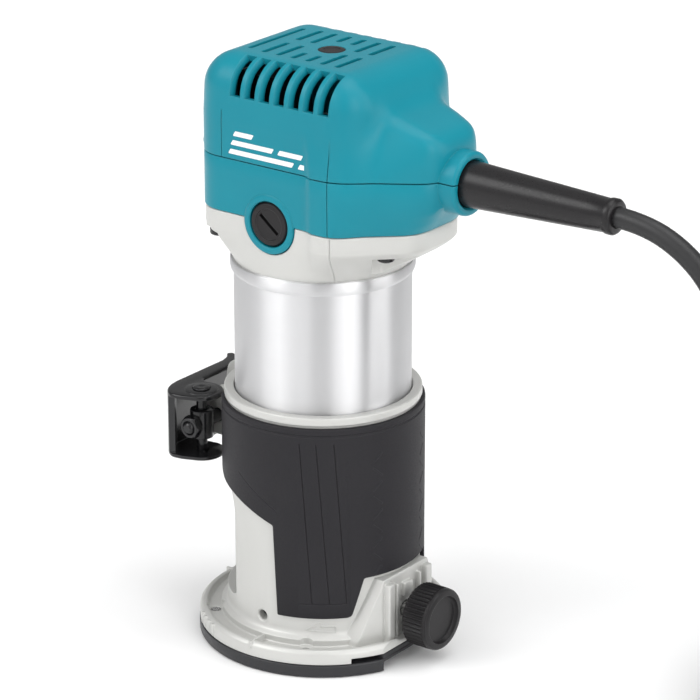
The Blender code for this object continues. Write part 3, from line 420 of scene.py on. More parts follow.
def smooth_path(points, spacing):
    """Points every spacing along a centripetal curve through the given ones."""
    spots = [Vector(point) for point in points]
    spots = [2 * spots[0] - spots[1]] + spots + [2 * spots[-1] - spots[-2]]
    fine = []
    for p0, p1, p2, p3 in zip(spots, spots[1:], spots[2:], spots[3:]):
        knots = [0.0]
        for a, b in ((p0, p1), (p1, p2), (p2, p3)):
            knots.append(knots[-1] + sqrt((b - a).length))
        t0, t1, t2, t3 = knots
        for step in range(24):
            t = t1 + (t2 - t1) * step / 24
            a1 = p0.lerp(p1, (t - t0) / (t1 - t0))
            a2 = p1.lerp(p2, (t - t1) / (t2 - t1))
            a3 = p2.lerp(p3, (t - t2) / (t3 - t2))
            b1 = a1.lerp(a2, (t - t0) / (t2 - t0))
            b2 = a2.lerp(a3, (t - t1) / (t3 - t1))
            fine.append(b1.lerp(b2, (t - t1) / (t2 - t1)))
    fine.append(spots[-2])
    length = sum((b - a).length for a, b in zip(fine, fine[1:]))
    count = max(2, round(length / spacing))
    even, walked, target = [fine[0]], 0.0, length / count
    for a, b in zip(fine, fine[1:]):
        step = (b - a).length
        while step > 0 and walked + step >= target - 1e-6 and len(even) < count:
            even.append(a.lerp(b, min(1.0, (target - walked) / step)))
            target += length / count
        walked += step
    even.append(fine[-1])
    return even


# ---------------------------------------------------------------- cord, guard and plug
CORD_D = 7.5
CORD_R = CORD_D / 2
CORD_ROUTE = [(0.042, 0.0, 0.1875), (0.084, 0.0, 0.1875), (0.126, 0.0, 0.1875),
              (0.1385, 0.0, 0.1862), (0.150, 0.0, 0.1818), (0.1602, 0.0, 0.1742),
              (0.1678, 0.0, 0.1636), (0.1726, 0.0, 0.1505), (0.175, 0.0, 0.134),
              (0.176, 0.0, 0.115), (0.1768, 0.0, 0.095), (0.1782, 0.0, 0.075),
              (0.1812, -0.0002, 0.055), (0.1866, -0.0006, 0.0365), (0.1945, -0.0012, 0.0205),
              (0.204, -0.0016, 0.0096), (0.215, 0.0017, 0.0043), (0.227, 0.009, 0.00375)]
COLLAR_Z, REAR_X = 187.5, 66.0
TURN_RADII = (33.4, 40.95, 48.5)
TURN_ORDER = (2, 1, 0, 0, 1, 2, 2, 1, 0)
LAYER_RISE = CORD_D + 0.06
SHIFT_ARC = 0.4                # share of a turn over which it changes place
COIL_START = -8.0              # degrees, where the free stretch meets the outer turn
LAST_TURN = 7.72
COIL_POINTS = 24               # points on each turn
FLOOR_GAP = 0.02               # what the tie keeps from the floor


def coil_spot(turns, centre):
    """A point on the wound cord after so many turns: three turns a layer, in, out and in again."""
    index = int(turns)
    part = turns - index
    here = TURN_ORDER[index]
    radius, layer = TURN_RADII[here], index // 3
    z = CORD_R + layer * LAYER_RISE
    start = 1 - SHIFT_ARC
    if part > start and index + 1 < len(TURN_ORDER):
        share = (part - start) / SHIFT_ARC
        there = TURN_ORDER[index + 1]
        climb = min(1.0, share * 2)
        aside = max(0.0, share * 2 - 1)
        if there == here:
            z += LAYER_RISE * eased(climb)
        else:
            radius += (TURN_RADII[there] - radius) * eased(aside)
    return polar(centre, radius, radians(COIL_START) + 2 * pi * turns, z)


def cord_points():
    """The free stretch, an easy lead on to the coil, the coil and the rise to the plug."""
    points = smooth_path([Vector(p) / MM for p in CORD_ROUTE], 10.0)
    coil_low, coil_high = node_box("cord_coil")
    centre = (coil_low + coil_high) / 2
    last = points[-1] - centre
    start_angle, start_radius = atan2(last.y, last.x), hypot(last.x, last.y)
    for i in range(1, 5):
        share = i / 5
        angle = start_angle + (radians(COIL_START) - start_angle) * share
        radius = TURN_RADII[2] + (start_radius - TURN_RADII[2]) * (1 - share) ** 1.5
        points.append(polar(centre, radius, angle, CORD_R))
    for i in range(int(LAST_TURN * COIL_POINTS) + 1):
        points.append(coil_spot(i / COIL_POINTS, centre))
    plug_low, plug_high = node_box("plug_body")
    plug_x, plug_z = (plug_low.x + plug_high.x) / 2, (plug_low.z + plug_high.z) / 2
    end = Vector((plug_x, plug_low.y + 4.0, plug_z))
    tip = points[-1] - centre
    angle0, radius0, z0 = atan2(tip.y, tip.x), hypot(tip.x, tip.y), points[-1].z
    goal = end - centre
    angle1, radius1 = atan2(goal.y, goal.x), hypot(goal.x, goal.y)
    for i in range(1, 8):
        share = i / 8
        lift = eased(min(1.0, share * 1.25))
        angle = angle0 + (angle1 - angle0) * share
        radius = radius0 + (radius1 - radius0) * share ** 2
        points.append(polar(centre, radius, angle, z0 + (plug_z - z0) * lift))
    return points + [end, end + Vector((0, 5.0, 0))]


def make_cord():
    """One smooth tube along the route."""
    points = smooth_path(cord_points(), 3.0)
    data = bpy.data.curves.new("cord_line", "CURVE")
    data.dimensions = "3D"
    data.bevel_depth = CORD_R * MM
    data.bevel_resolution = 5
    data.use_fill_caps = True
    line = data.splines.new("POLY")
    line.points.add(len(points) - 1)
    for spot, point in zip(line.points, points):
        spot.co = (*(TO_WORLD @ point), 1.0)
    curve = add(bpy.data.objects.new("cord_line", data))
    bpy.context.view_layer.update()
    found = curve.evaluated_get(bpy.context.evaluated_depsgraph_get())
    mesh = bpy.data.meshes.new_from_object(found)
    bpy.data.objects.remove(curve, do_unlink=True)
    bm = bmesh.new()
    bm.from_mesh(mesh)
    bmesh.ops.remove_doubles(bm, verts=bm.verts, dist=0.00001)
    bmesh.ops.recalc_face_normals(bm, faces=bm.faces)
    bm.to_mesh(mesh)
    bm.free()
    mesh.materials.clear()
    mesh.materials.append(CORD)
    mesh.shade_smooth()
    mesh.set_sharp_from_angle(angle=radians(50))
    cord = add(bpy.data.objects.new("mains_cord", mesh))
    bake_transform(cord)
    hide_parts("power_cord", "cord_coil")
    pieces = [make_guard(), make_plug(), make_tie()] + make_pins()


def make_guard():
    """The tapered strain relief, with a rolled lip at its thin end."""
    low, high = node_box("cord_guard")
    x0, x1 = low.x, high.x
    hole = CORD_R + 0.05
    profile = [(0, hole), (0, 10.2), (3.6, 10.2), (3.6, 8.3), (12.2, 8.3)]
    thick, thin, lip = 8.3, 6.0, 6.4
    for i in range(1, 9):
        share = i / 8
        profile.append((12.2 + (x1 - x0 - 16.2) * share, thick + (thin - thick) * share))
    length = x1 - x0
    profile += [(length - 3.0, lip), (length - 1.0, lip), (length - 0.3, lip - 0.5),
                (length, lip - 1.2), (length, hole)]
    guard = spun("cord_strain_relief", profile, *lengthways(0, COLLAR_Z, x0, x1), 64)
    return piece(guard, GUARD, "motor", ["cord_guard"], 40)


def make_plug():
    """A moulded round-pin plug: waisted grip with ribs, a flat pin face and a ribbed sleeve."""
    low, high = node_box("plug_body")
    x, z = (low.x + high.x) / 2, (low.z + high.z) / 2
    face_y, sleeve_y = high.y, low.y
    half_height = (high.z - low.z) / 2
    loops = []
    #           back from the face, half width, share of the full half height
    stations = [(0.0, 12.4, 0.90), (0.6, 13.2, 0.98), (1.8, 13.5, 1.0), (7.0, 12.8, 1.0),
                (13.0, 12.0, 0.97), (19.0, 11.6, 0.93), (25.0, 11.4, 0.90), (30.0, 10.0, 0.86),
                (34.0, 7.6, 0.80), (37.0, 5.6, 0.74)]
    for back, half, share in stations:
        loop = []
        for i in range(48):
            angle = 2 * pi * i / 48
            c, s = cos(angle), sin(angle)
            flat = (abs(c) ** 3 + abs(s) ** 3) ** (-1 / 3)
            loop.append((x + half * c * flat, face_y - back, z + half_height * share * s * flat))
        loops.append(loop)
    plug = skin("mains_plug", loops)
    sleeve = [(0, 0), (0, 4.8)]
    length = face_y - 35.0 - sleeve_y
    for i in range(4):
        y = 3.2 + i * 3.1
        sleeve += [(y, 4.75), (y + 0.3, 4.2), (y + 1.1, 4.2), (y + 1.4, 4.7)]
    sleeve += [(length - 0.4, 4.6), (length, 4.3), (length, 0)]
    join(plug, spun("sleeve", sleeve, *sideways(x, z, face_y - 35.0, sleeve_y), 40))
    for side in (-1, 1):
        for i in range(5):
            y = face_y - 12.0 - 2.6 * i
            cut(plug, rod("grip_%d" % i, 0.7, *upright(x + side * 12.5, y, z - 9, z + 9), 12))
    return piece(plug, RUBBER, "base", ["plug_body"])


def make_pins():
    """Two round pins with rounded tips."""
    pins = []
    for word in "ab":
        low, high = node_box("plug_pin_" + word)
        x, z, r = (low.x + high.x) / 2, (low.z + high.z) / 2, (high.x - low.x) / 2
        profile = [(0, 0), (0, r)]
        length = high.y - low.y
        for i in range(7):
            angle = pi / 2 * i / 6
            profile.append((length - r * (1 - sin(angle)), r * cos(angle)))
        pin = spun("mains_pin_" + word, profile, *sideways(x, z, low.y, high.y), 32)
        pins.append(piece(pin, BRASS, "base", ["plug_pin_" + word]))
    return pins


def make_tie():
    """A rubber tie round the wound turns at the side away from the tool."""
    low, high = node_box("cord_coil")
    centre = (low + high) / 2
    inner, outer = TURN_RADII[0] - CORD_R - 0.9, TURN_RADII[2] + CORD_R + 0.9
    top = high.z + 0.9
    path = rounded_box(inner, FLOOR_GAP, outer, top, [3.0, 3.0, 4.0, 4.0], 6)
    loops = []
    width, thick = 5.0, 1.2
    mid = Vector(((inner + outer) / 2, top / 2))
    for u, v in path:
        inward = (mid - Vector((u, v))).normalized() * thick
        loops.append([(centre.x + w, centre.y + u + inward.x * s, max(FLOOR_GAP, v + inward.y * s))
                      for w, s in ((-width / 2, 0), (width / 2, 0), (width / 2, 1), (-width / 2, 1))])
    tie = skin("cord_tie", loops, closed=True)
    return piece(tie, RUBBER, "base", ())


make_cord()


# ---------------------------------------------------------------- the head's form
SEAM_Z = 189.5
HEAD_FRONT, HEAD_REAR, HEAD_HALF_Y, HEAD_TOP = -34.4, 38.0, 33.3, 225.5
HEAD_EDGE = 12.8
CENTRE_X = 6.0
WEDGE_X = 22.0
COVER_WALL = 2.4
HEAD_STEPS, DOME_ROWS = 240, 64      # points round the head, and rows over its crown
CAST_STEPS = 30                      # halvings that find a surface along a ray
TAPER_Z, TAPER = 204.0, 0.7


def soft_max(a, b, reach):
    """The larger of two distances, with the crease rounded over a reach."""
    near = np.maximum(reach - np.abs(a - b), 0.0) / reach
    return np.maximum(a, b) + near * near * reach / 4


def soft_min(a, b, reach):
    return -soft_max(-a, -b, reach)


def body_form(x, y, z):
    """A block with rounded upright corners and rounded shoulders, narrowing slightly on top."""
    half_y = HEAD_HALF_Y - TAPER * np.clip((z - TAPER_Z) / 9.0, 0, 1)
    middle, half_x = (HEAD_FRONT + HEAD_REAR) / 2, (HEAD_REAR - HEAD_FRONT) / 2
    qx = np.abs(x - middle) - (half_x - HEAD_EDGE)
    qy = np.abs(y) - (half_y - HEAD_EDGE)
    qz = z - (HEAD_TOP - HEAD_EDGE)
    outside = np.sqrt(np.maximum(qx, 0) ** 2 + np.maximum(qy, 0) ** 2 + np.maximum(qz, 0) ** 2)
    return outside + np.minimum(np.maximum(np.maximum(qx, qy), qz), 0) - HEAD_EDGE


def plane(x, y, z, normal, spot):
    normal = np.array(normal) / np.linalg.norm(normal)
    return (x - spot[0]) * normal[0] + (y - spot[1]) * normal[1] + (z - spot[2]) * normal[2]


def bulge_form(x, y, z, tip=60.3):
    """The wedge behind the body: upright flanks, leaning cheeks and a roof that falls to the rear."""
    side = np.abs(y)
    flank = plane(x, side, z, (20.3, 29.5, 0), (30.5, HEAD_HALF_Y, 0))
    cheek = plane(x, side, z, (0.279, 0.7915, 0.5437), (34.0, 30.9, 192.0))
    roof = plane(x, side, z, (0.33, 0, 0.944), (38.0, 0, 212.0))
    wedge = soft_max(soft_max(soft_max(flank, cheek, 5), roof, 4), x - tip, 6)
    return np.maximum(soft_max(wedge, side - HEAD_HALF_Y, 3), WEDGE_X - x)


def head_form(x, y, z):
    return soft_min(body_form(x, y, z), bulge_form(x, y, z), 6)


def cast_rays(form, origin, rays, inset=0.0, far=95.0):
    """How far along each ray from the origin the form's surface lies."""
    near = np.zeros(len(rays))
    reach = np.full(len(rays), far)
    for _ in range(CAST_STEPS):
        middle = (near + reach) / 2
        spots = np.array(origin) + rays * middle[:, None]
        inside = form(spots[:, 0], spots[:, 1], spots[:, 2]) + inset < 0
        near = np.where(inside, middle, near)
        reach = np.where(inside, reach, middle)
    return np.array(origin) + rays * near[:, None]


def slice_outline(form, z, inset=0.0):
    """The form's outline at a height, as rays from a point inside it."""
    return cast_rays(form, (CENTRE_X, 0.0, z), spokes(ring_angles(HEAD_STEPS)), inset)


def dome_rows(form, z, inset, count, rows):
    """Rings of points over the form from a height up to its crown."""
    angles = ring_angles(count)
    found = []
    for i in range(rows):
        rays = spokes(angles, pi / 2 * i / rows)
        found.append(cast_rays(form, (CENTRE_X, 0.0, z), rays, inset))
    crown = cast_rays(form, (CENTRE_X, 0.0, z), np.array([[0.0, 0.0, 1.0]]), inset)[0]
    return found, crown


def dome_shell(name, form, z, wall, count=HEAD_STEPS, rows=DOME_ROWS):
    """A hollow dome: outer rows, inner rows and a flat rim between them."""
    bm = bmesh.new()
    skins = []
    for inset, across, steps in ((0.0, count, rows), (wall, count, rows // 2)):
        found, crown = dome_rows(form, z, inset, across, steps)
        loops = [[bm.verts.new(point) for point in row] for row in found]
        top = bm.verts.new(crown)
        for low, high in zip(loops, loops[1:]):
            band(bm, low, high)
        for i in range(across):
            bm.faces.new((loops[-1][i], loops[-1][(i + 1) % across], top))
        skins.append(loops[0])
    band(bm, *skins)
    return mesh_object(name, bm)


def wall_ring(name, outer, inner):
    """A wall between an outer and an inner stack of outlines, bottom to top."""
    return skin(name, list(outer) + list(reversed(list(inner))), closed=True)


# ---------------------------------------------------------------- covers
COLLAR_R = 11.6
BRUSH_X, BRUSH_Z = 1.5, 168.5
BRUSH_BOSS_R = 11.0
FLANGE_TOP_Z = 169.0
GUARD_BORE_R = 8.6
LEDGE_X, LEDGE_Z, LEDGE_HALF_Y = -36.4, 188.9, 21.0
SEAM_GAP, CREASE_HALF = 0.22, 0.16


def collar(name):
    """The round collar, its rim rounded inside and out."""
    profile = [(0, 0), (0, COLLAR_R), (14.6, COLLAR_R)]
    for i in range(1, 6):
        angle = pi / 2 * i / 5
        profile.append((14.6 + 1.4 * sin(angle), COLLAR_R - 1.4 * (1 - cos(angle))))
    profile += [(16.0, GUARD_BORE_R + 0.8), (15.2, GUARD_BORE_R), (6.0, GUARD_BORE_R), (6.0, 0)]
    return spun(name, profile, *lengthways(0, COLLAR_Z, REAR_X - 16, REAR_X), 72)


def front_ledge(name):
    """A round-ended roll across the front, at the seam."""
    loops = []
    for i in range(25):
        along = -1 + 2 * i / 24
        y = LEDGE_HALF_Y * sin(along * pi / 2)
        size = max(0.05, (1 - abs(y / LEDGE_HALF_Y) ** 6) ** (1 / 2))
        loops.append([(LEDGE_X + 4.9 * size * cos(a), y, LEDGE_Z + 4.6 * size * sin(a))
                      for a in [2 * pi * j / 28 for j in range(28)]])
    return skin(name, loops)


def half_space(name, z, above):
    return block(name, (-80, -60, z if above else 60), (100, 60, 260 if above else z))


def crease(name, x, z0, z1, side):
    """A hairline groove down a side face."""
    low, high = sorted((side * 32.85, side * 36))
    return block(name, (x - CREASE_HALF, low, z0), (x + CREASE_HALF, high, z1))


def vent_path(x, side):
    """Points and outward directions over one shoulder, from the foot of a vent to its end."""
    spots = []
    for i in range(15):
        lift = i / 14
        angle = radians(2 + 80 * lift)
        start = np.array([[x, side * 12.0, 203.0]])
        ray = np.array([[0.0, side * cos(angle), sin(angle)]])
        spot = cast_rays(head_form, start[0], ray)[0]
        if spot[2] < VENT_FOOT_Z or abs(spot[1]) < VENT_END_Y:
            continue
        step = 0.05
        dy = head_form(spot[0], spot[1] + step, spot[2]) - head_form(spot[0], spot[1] - step, spot[2])
        dz = head_form(spot[0], spot[1], spot[2] + step) - head_form(spot[0], spot[1], spot[2] - step)
        spots.append((Vector(spot), Vector((0, dy, dz)).normalized()))
    return spots


VENT_PITCH, VENT_X0 = 6.5, -13.9
VENT_FOOT_Z, VENT_END_Y = 211.9, 21.6
VENT_HALF, FLARE_HALF = 1.45, 2.35
DISC_X, DISC_R = 4.2, 5.0


def vent_cutter(name, x, side):
    """A slot through the wall with flared flanks, swept over the shoulder."""
    loops = []
    for spot, out in vent_path(x, side):
        rows = ((3.0, FLARE_HALF + 2.2), (-1.3, VENT_HALF), (-5.0, VENT_HALF))
        right = [spot + out * d + Vector((w, 0, 0)) for d, w in rows]
        left = [spot + out * d - Vector((w, 0, 0)) for d, w in reversed(rows)]
        loops.append(right + left)
    return skin(name, loops)


def slot_cutter(name, x, y0, y1, half=1.2):
    """A round-ended slot down through the crown."""
    low, high = min(y0, y1), max(y0, y1)
    outline = rounded_box(x - half, low, x + half, high, [half * 0.8] * 4, 4)
    return prism(name, outline, "Z", 218.0, 240.0)


def make_upper_shell():
    shell = dome_shell("upper_shell", head_form, SEAM_Z + SEAM_GAP, COVER_WALL)
    extra = [collar("upper_collar"), front_ledge("upper_ledge")]
    for part in extra:
        cut(part, half_space("below", SEAM_Z + SEAM_GAP, False))
    join(shell, *extra)
    cut(shell, rod("guard_way", GUARD_BORE_R, *lengthways(0, COLLAR_Z, 40, 80), 56),
        prism("switch_window", rounded_box(-8.6, 195.6, 8.6, 213.4, [1.6] * 4), "X", -40, -30))
    for side in (-1, 1):
        cut(shell, *[vent_cutter("vent_%d" % i, VENT_X0 + VENT_PITCH * i, side) for i in range(7)])
        cut(shell, crease("crease_rear", 28.2, 180, 213, side),
            crease("crease_front", -19.6, 180, 207, side))
        slots = []
        for i in range(6):
            x = VENT_X0 - 2.0 + VENT_PITCH * (i + 0.4)
            start = 9.0 if abs(x - DISC_X) < 8.0 else 2.4
            slots.append(slot_cutter("slot_%d" % i, x, side * start, side * 17.2))
        cut(shell, *slots)
    cut(shell, slot_cutter("front_slot", -20.4, -16.0, 16.0, 1.0),
        spun("disc_seat", [(0, 0), (0, DISC_R), (2, DISC_R), (2, 0)],
             *upright(DISC_X, 0, HEAD_TOP - 0.5, HEAD_TOP + 2), 48))
    return piece(shell, TEAL, "motor", ["upper_cover"], 38)


LOWER_FULL_Z, DRAW_X, DRAW = 180.0, 26.0, 0.31


def lower_form(x, y, z):
    """The head's outline under the seam; its rear draws in down to the flange."""
    share = np.clip((LOWER_FULL_Z - z) / (LOWER_FULL_Z - FLANGE_TOP_Z), 0, 1)
    behind = np.maximum(x - DRAW_X, 0.0)
    return head_form(x + behind * DRAW * share, y, np.full_like(x, 186.0))


def make_lower_shell():
    heights = [(FLANGE_TOP_Z + 0.3, 0.25), (FLANGE_TOP_Z + 0.6, 0.0), (173.0, 0.0), (176.5, 0.0),
               (LOWER_FULL_Z, 0.0), (184.0, 0.0),
               (SEAM_Z - SEAM_GAP - 0.3, 0.0), (SEAM_Z - SEAM_GAP, 0.2)]
    outer = [slice_outline(lower_form, z, inset) for z, inset in heights]
    inner = [slice_outline(lower_form, z, COVER_WALL)
             for z in (FLANGE_TOP_Z + 0.3, LOWER_FULL_Z, SEAM_Z - SEAM_GAP)]
    shell = wall_ring("lower_shell", outer, inner)
    extra = [collar("lower_collar"), front_ledge("lower_ledge")]
    for part in extra:
        cut(part, half_space("above", SEAM_Z - SEAM_GAP, True))
    for side in (-1, 1):
        extra.append(spun("boss", [(0, 0), (0, BRUSH_BOSS_R), (12.0, BRUSH_BOSS_R),
                                   (12.5, BRUSH_BOSS_R - 0.15), (12.8, BRUSH_BOSS_R - 0.6), (12.8, 0)],
                          *sideways(BRUSH_X, BRUSH_Z, side * 21.0, side * 30.0), 72))
    extra.append(block("bearing_bridge", (-13.5, -32.0, 180.0), (13.5, 32.0, 188.8)))
    join(shell, *extra)
    for side in (-1, 1):
        cut(shell, spun("cap_seat", [(0, 0), (0, 8.5), (3.0, 8.5), (3.5, 9.1), (10, 9.1), (10, 0)],
                        *sideways(BRUSH_X, BRUSH_Z, side * 30.4, side * 40), 64),
            rod("holder_bore", 6.8, *sideways(BRUSH_X, BRUSH_Z, side * 20, side * 40), 48),
            crease("crease_rear", 28.2, 160, 200, side))
    cut(shell, rod("guard_way", GUARD_BORE_R, *lengthways(0, COLLAR_Z, 40, 80), 56),
        rod("bearing_seat", 9.8, *upright(0, 0, 181.4, 200), 48),
        rod("shaft_hole", 6.0, *upright(0, 0, 170, 200), 32),
        prism("dial_slot", rounded_box(-9.8, 175.2, 9.8, 182.8, [1.0] * 4), "X", -42, -30))
    return piece(shell, TEAL, "motor", ["lower_cover"], 38)


def make_crown_disc():
    """The plain round plug set in the crown, with a shallow dish."""
    profile = [(0, 0), (0, DISC_R - 0.15), (0.42, DISC_R - 0.15), (0.55, DISC_R - 0.4), (0.55, 3.4),
               (0.35, 3.1), (0.35, 0)]
    disc = spun("crown_disc", profile, *upright(DISC_X, 0, HEAD_TOP - 0.55, HEAD_TOP), 48)
    return piece(disc, KNOB, "motor", ())


def make_side_marks():
    """A plain pattern of slanted bars moulded in white on both side faces."""
    bars = [(-16.5, 12.0, 191.6, 193.4), (-15.4, 3.0, 195.0, 196.8), (-14.3, -6.0, 198.4, 200.2),
            (5.6, 16.0, 195.0, 196.8), (14.6, 19.0, 191.6, 193.4)]
    for side, word in ((-1, "left"), (1, "right")):
        marks = None
        for i, (x0, x1, z0, z1) in enumerate(bars):
            lean = (z1 - z0) * 0.62
            outline = rounded([(x0, z0), (x1, z0), (x1 + lean, z1), (x0 + lean, z1)], [0.25] * 4, 3)
            bar = prism("bar_%d" % i, outline, "Y", side * 33.1, side * (HEAD_HALF_Y + 0.12))
            marks = join(marks, bar) if marks else bar
        marks.name = "side_mark_" + word
        piece(marks, WHITE, "motor", ())


make_upper_shell()
make_lower_shell()
make_crown_disc()
make_side_marks()


# ---------------------------------------------------------------- flange and tube
TUBE_R, TUBE_BORE_R = 32.5, 28.5
TUBE_Z0, NECK_Z, RIM_Z = 60.0, 148.2, 162.6
NECK_R, SCREW_SEAT_Z = 32.5, 159.9
HOUSING_SCREWS = [(-27.2, -26.2), (-27.2, 26.2), (38.6, -13.8), (38.6, 13.8)]
FLANGE_INSET = 0.35
RACK_X, RACK_Y0, RACK_Y1, RACK_PITCH = -31.3, 2.6, 7.1, 3.0
RACK_NOTCHES, PINION_TEETH = 22, 12
ADDENDUM = 0.65                # how far the teeth reach past their pitch line
PITCH_R = RACK_PITCH * PINION_TEETH / (2 * pi)
PINION_X, PINION_Z = RACK_X + ADDENDUM - PITCH_R, 88.0


def flange_points(z, angles, inset=0.0):
    """Points of the flange's outline at a height, along directions from a point inside it."""
    share = min(1.0, max(0.0, (z - NECK_Z) / (RIM_Z - NECK_Z)))
    share = 0.65 * share + 0.35 * (0.5 - 0.5 * cos(pi * share))
    rays = spokes(angles)
    start = (CENTRE_X, 0.0, z)
    low = cast_rays(lambda x, y, z: np.hypot(x, y) - NECK_R, start, rays, inset)
    high = cast_rays(lambda x, y, z: lower_form(x, y, np.full_like(x, FLANGE_TOP_Z)), start, rays,
                     inset + FLANGE_INSET)
    return low + (high - low) * share


def flange_crease(name, side):
    """A hairline down the flange's side, leaning inwards where the cone begins."""
    loops = []
    for i in range(19):
        z = 149.5 + 20.0 * i / 18
        lean = max(0.0, (160.0 - z) / 11.0)
        angle = side * radians(-56.0 + 2.6 * lean)
        spot = flange_points(z, np.array([angle]))[0]
        out = Vector((cos(angle), sin(angle), 0))
        across = Vector((-out.y, out.x, 0)) * CREASE_HALF
        spot = Vector(spot)
        loops.append([spot + out + across, spot + out - across, spot - out * 0.3 - across,
                      spot - out * 0.3 + across])
    return skin(name, loops)


def screw_pocket(name, x, y):
    """A rounded three-cornered pocket round one screw head, open outwards."""
    away = Vector((x, y)).normalized()
    across = Vector((-away.y, away.x))
    spot = Vector((x, y))
    tip, mouth = spot - away * 6.2, spot + away * 10.0
    corners = [tip + across * 2.4, tip - across * 2.4, mouth - across * 12.0, mouth + across * 12.0]
    outline = rounded([tuple(c) for c in corners], [2.0, 2.0, 0.8, 0.8], 6)
    return prism(name, outline, "Z", 146.0, SCREW_SEAT_Z)


def make_flange():
    """The cast flange: a cone that opens from the round neck to an upright rim."""
    angles = ring_angles(HEAD_STEPS)
    heights = [NECK_Z - 0.2, NECK_Z + 0.8, 150.4, 152.0, 153.6, 155.2, 156.8, 158.4, 160.0,
               161.2, 162.2, RIM_Z + 0.3, 166.0, FLANGE_TOP_Z - 0.35]
    outer = [flange_points(z, angles) for z in heights] + [flange_points(FLANGE_TOP_Z, angles, 0.3)]
    ring = spokes(angles) * TUBE_BORE_R
    inner = [ring + np.array((0, 0, z)) for z in (NECK_Z - 0.2, 161.6)]
    inner += [flange_points(z, angles, COVER_WALL) for z in (164.0, FLANGE_TOP_Z)]
    flange = wall_ring("motor_flange", outer, inner)
    pillars = [rod("pillar", 4.4, *upright(x, y, SCREW_SEAT_Z + 1.2, FLANGE_TOP_Z), 36)
               for x, y in HOUSING_SCREWS]
    join(flange, *pillars)
    for x, y in HOUSING_SCREWS:
        cut(flange, screw_pocket("screw_pocket", x, y),
            rod("screw_way", 2.0, *upright(x, y, 150, 180), 24))
    for side in (-1, 1):
        cut(flange, rod("boss_notch", BRUSH_BOSS_R + 0.35,
                        *sideways(BRUSH_X, BRUSH_Z, side * 22, side * 50), 72),
            flange_crease("crease", side))
    return piece(flange, CAST, "motor", ["motor_housing"], 35)


def make_tube():
    """The machined tube: a bead under the flange, a chamfered foot, a bored floor and the rack."""
    profile = [(33.0, NECK_Z + 0.2), (33.5, NECK_Z), (33.75, NECK_Z - 0.6), (33.75, 145.2),
               (33.55, 144.3), (33.0, 143.6), (TUBE_R, 143.2), (TUBE_R, TUBE_Z0 + 0.9),
               (TUBE_R - 0.3, TUBE_Z0 + 0.3), (TUBE_R - 0.9, TUBE_Z0), (9.6, TUBE_Z0),
               (9.0, TUBE_Z0 + 0.5), (9.0, 62.4), (13.3, 62.4), (13.3, 71.0), (TUBE_BORE_R, 73.5),
               (TUBE_BORE_R, NECK_Z + 0.2)]
    tube = lathe("motor_tube", profile)
    cutters = []
    for i in range(6):
        angle = radians(60 * i + 30)
        x, y = 21.0 * cos(angle), 21.0 * sin(angle)
        cutters.append(rod("air_hole", 4.2, *upright(x, y, 50, 80), 32))
    low, high = PINION_Z - 6 * RACK_PITCH, PINION_Z + 15 * RACK_PITCH
    cutters.append(block("rack_flat", (-40, RACK_Y0 - 0.3, low - 2), (RACK_X, RACK_Y1 + 0.3, high + 2)))
    cut(tube, *cutters)
    notches = [block("notch", (-36, RACK_Y0, low + i * RACK_PITCH - 0.95),
                     (-29.6, RACK_Y1, low + i * RACK_PITCH + 0.95)) for i in range(RACK_NOTCHES)]
    cut(tube, *notches)
    return piece(tube, TUBE, "motor", ["motor_housing"], 30)


def make_crossed_screws(title, node, spots, head, arm, depth, finish, body):
    """Pan heads with a crossed recess that looks down, one for each CAD screw."""
    for word, (x, y) in zip("abcd", spots):
        low, high = node_box(node + word)
        length = high.z - low.z
        screw = spun(title + word, head + [(length, 1.6), (length, 0)],
                     *upright(x, y, low.z, high.z), 32)
        cut(screw, *[block("slot", (x - u, y - v, low.z - 1), (x + u, y + v, low.z + depth))
                     for u, v in ((arm, 0.35), (0.35, arm))])
        piece(screw, finish, body, [node + word])


def make_brush_caps():
    """Screw caps with a wide slot, a recessed centre and a chamfered rim."""
    for side, word in ((-1, "left"), (1, "right")):
        profile = [(0, 0), (0, 8.1), (2.1, 8.1), (2.9, 7.5), (3.0, 7.0), (3.0, 5.9), (2.55, 5.6),
                   (2.55, 0)]
        cap = spun("brush_plug_" + word, profile,
                   *sideways(BRUSH_X, BRUSH_Z, side * 30.7, side * 33.7), 64)
        turn = radians(38)
        slot = block("slot", (-5.0, -3, -0.75), (5.0, 3, 0.75))
        slot.rotation_euler = (0, turn, 0)
        slot.location = (BRUSH_X, side * 34.7, BRUSH_Z)
        cut(cap, slot)
        piece(cap, KNOB, "motor", ["brush_cap_" + word])


make_flange()
make_tube()
make_crossed_screws("flange_screw_", "housing_screw_", HOUSING_SCREWS,
                    [(0, 0), (0, 2.2), (0.5, 3.0), (1.0, 3.2), (2.5, 3.2), (2.5, 1.6)],
                    1.9, 0.9, GLOSS, "motor")
make_brush_caps()


# ---------------------------------------------------------------- base
RING_TOP_Z, BASE_R = 98.0, 36.0
BASE_BORE_R = TUBE_R + 0.3
FOOT_Z0, DECK_Z = 5.3, 8.8
SILL_Z, WINDOW_TOP_Z, WINDOW_HALF_Y = 18.5, 67.0, 32.0
CHORD_X, PAD_X, GUIDE_Z = 42.4, 38.0, 17.3
CLAMP_X, CLAMP_Z, CLAMP_PIN_Y = -44.0, 77.0, -17.2
PLATE_SCREWS = [(40.8 * cos(radians(a)), 40.8 * sin(radians(a))) for a in (-136, 136, -62, 62)]


def around(radius, degrees, z):
    """A point on a circle about the tool's axis."""
    return Vector((radius * cos(radians(degrees)), radius * sin(radians(degrees)), z))


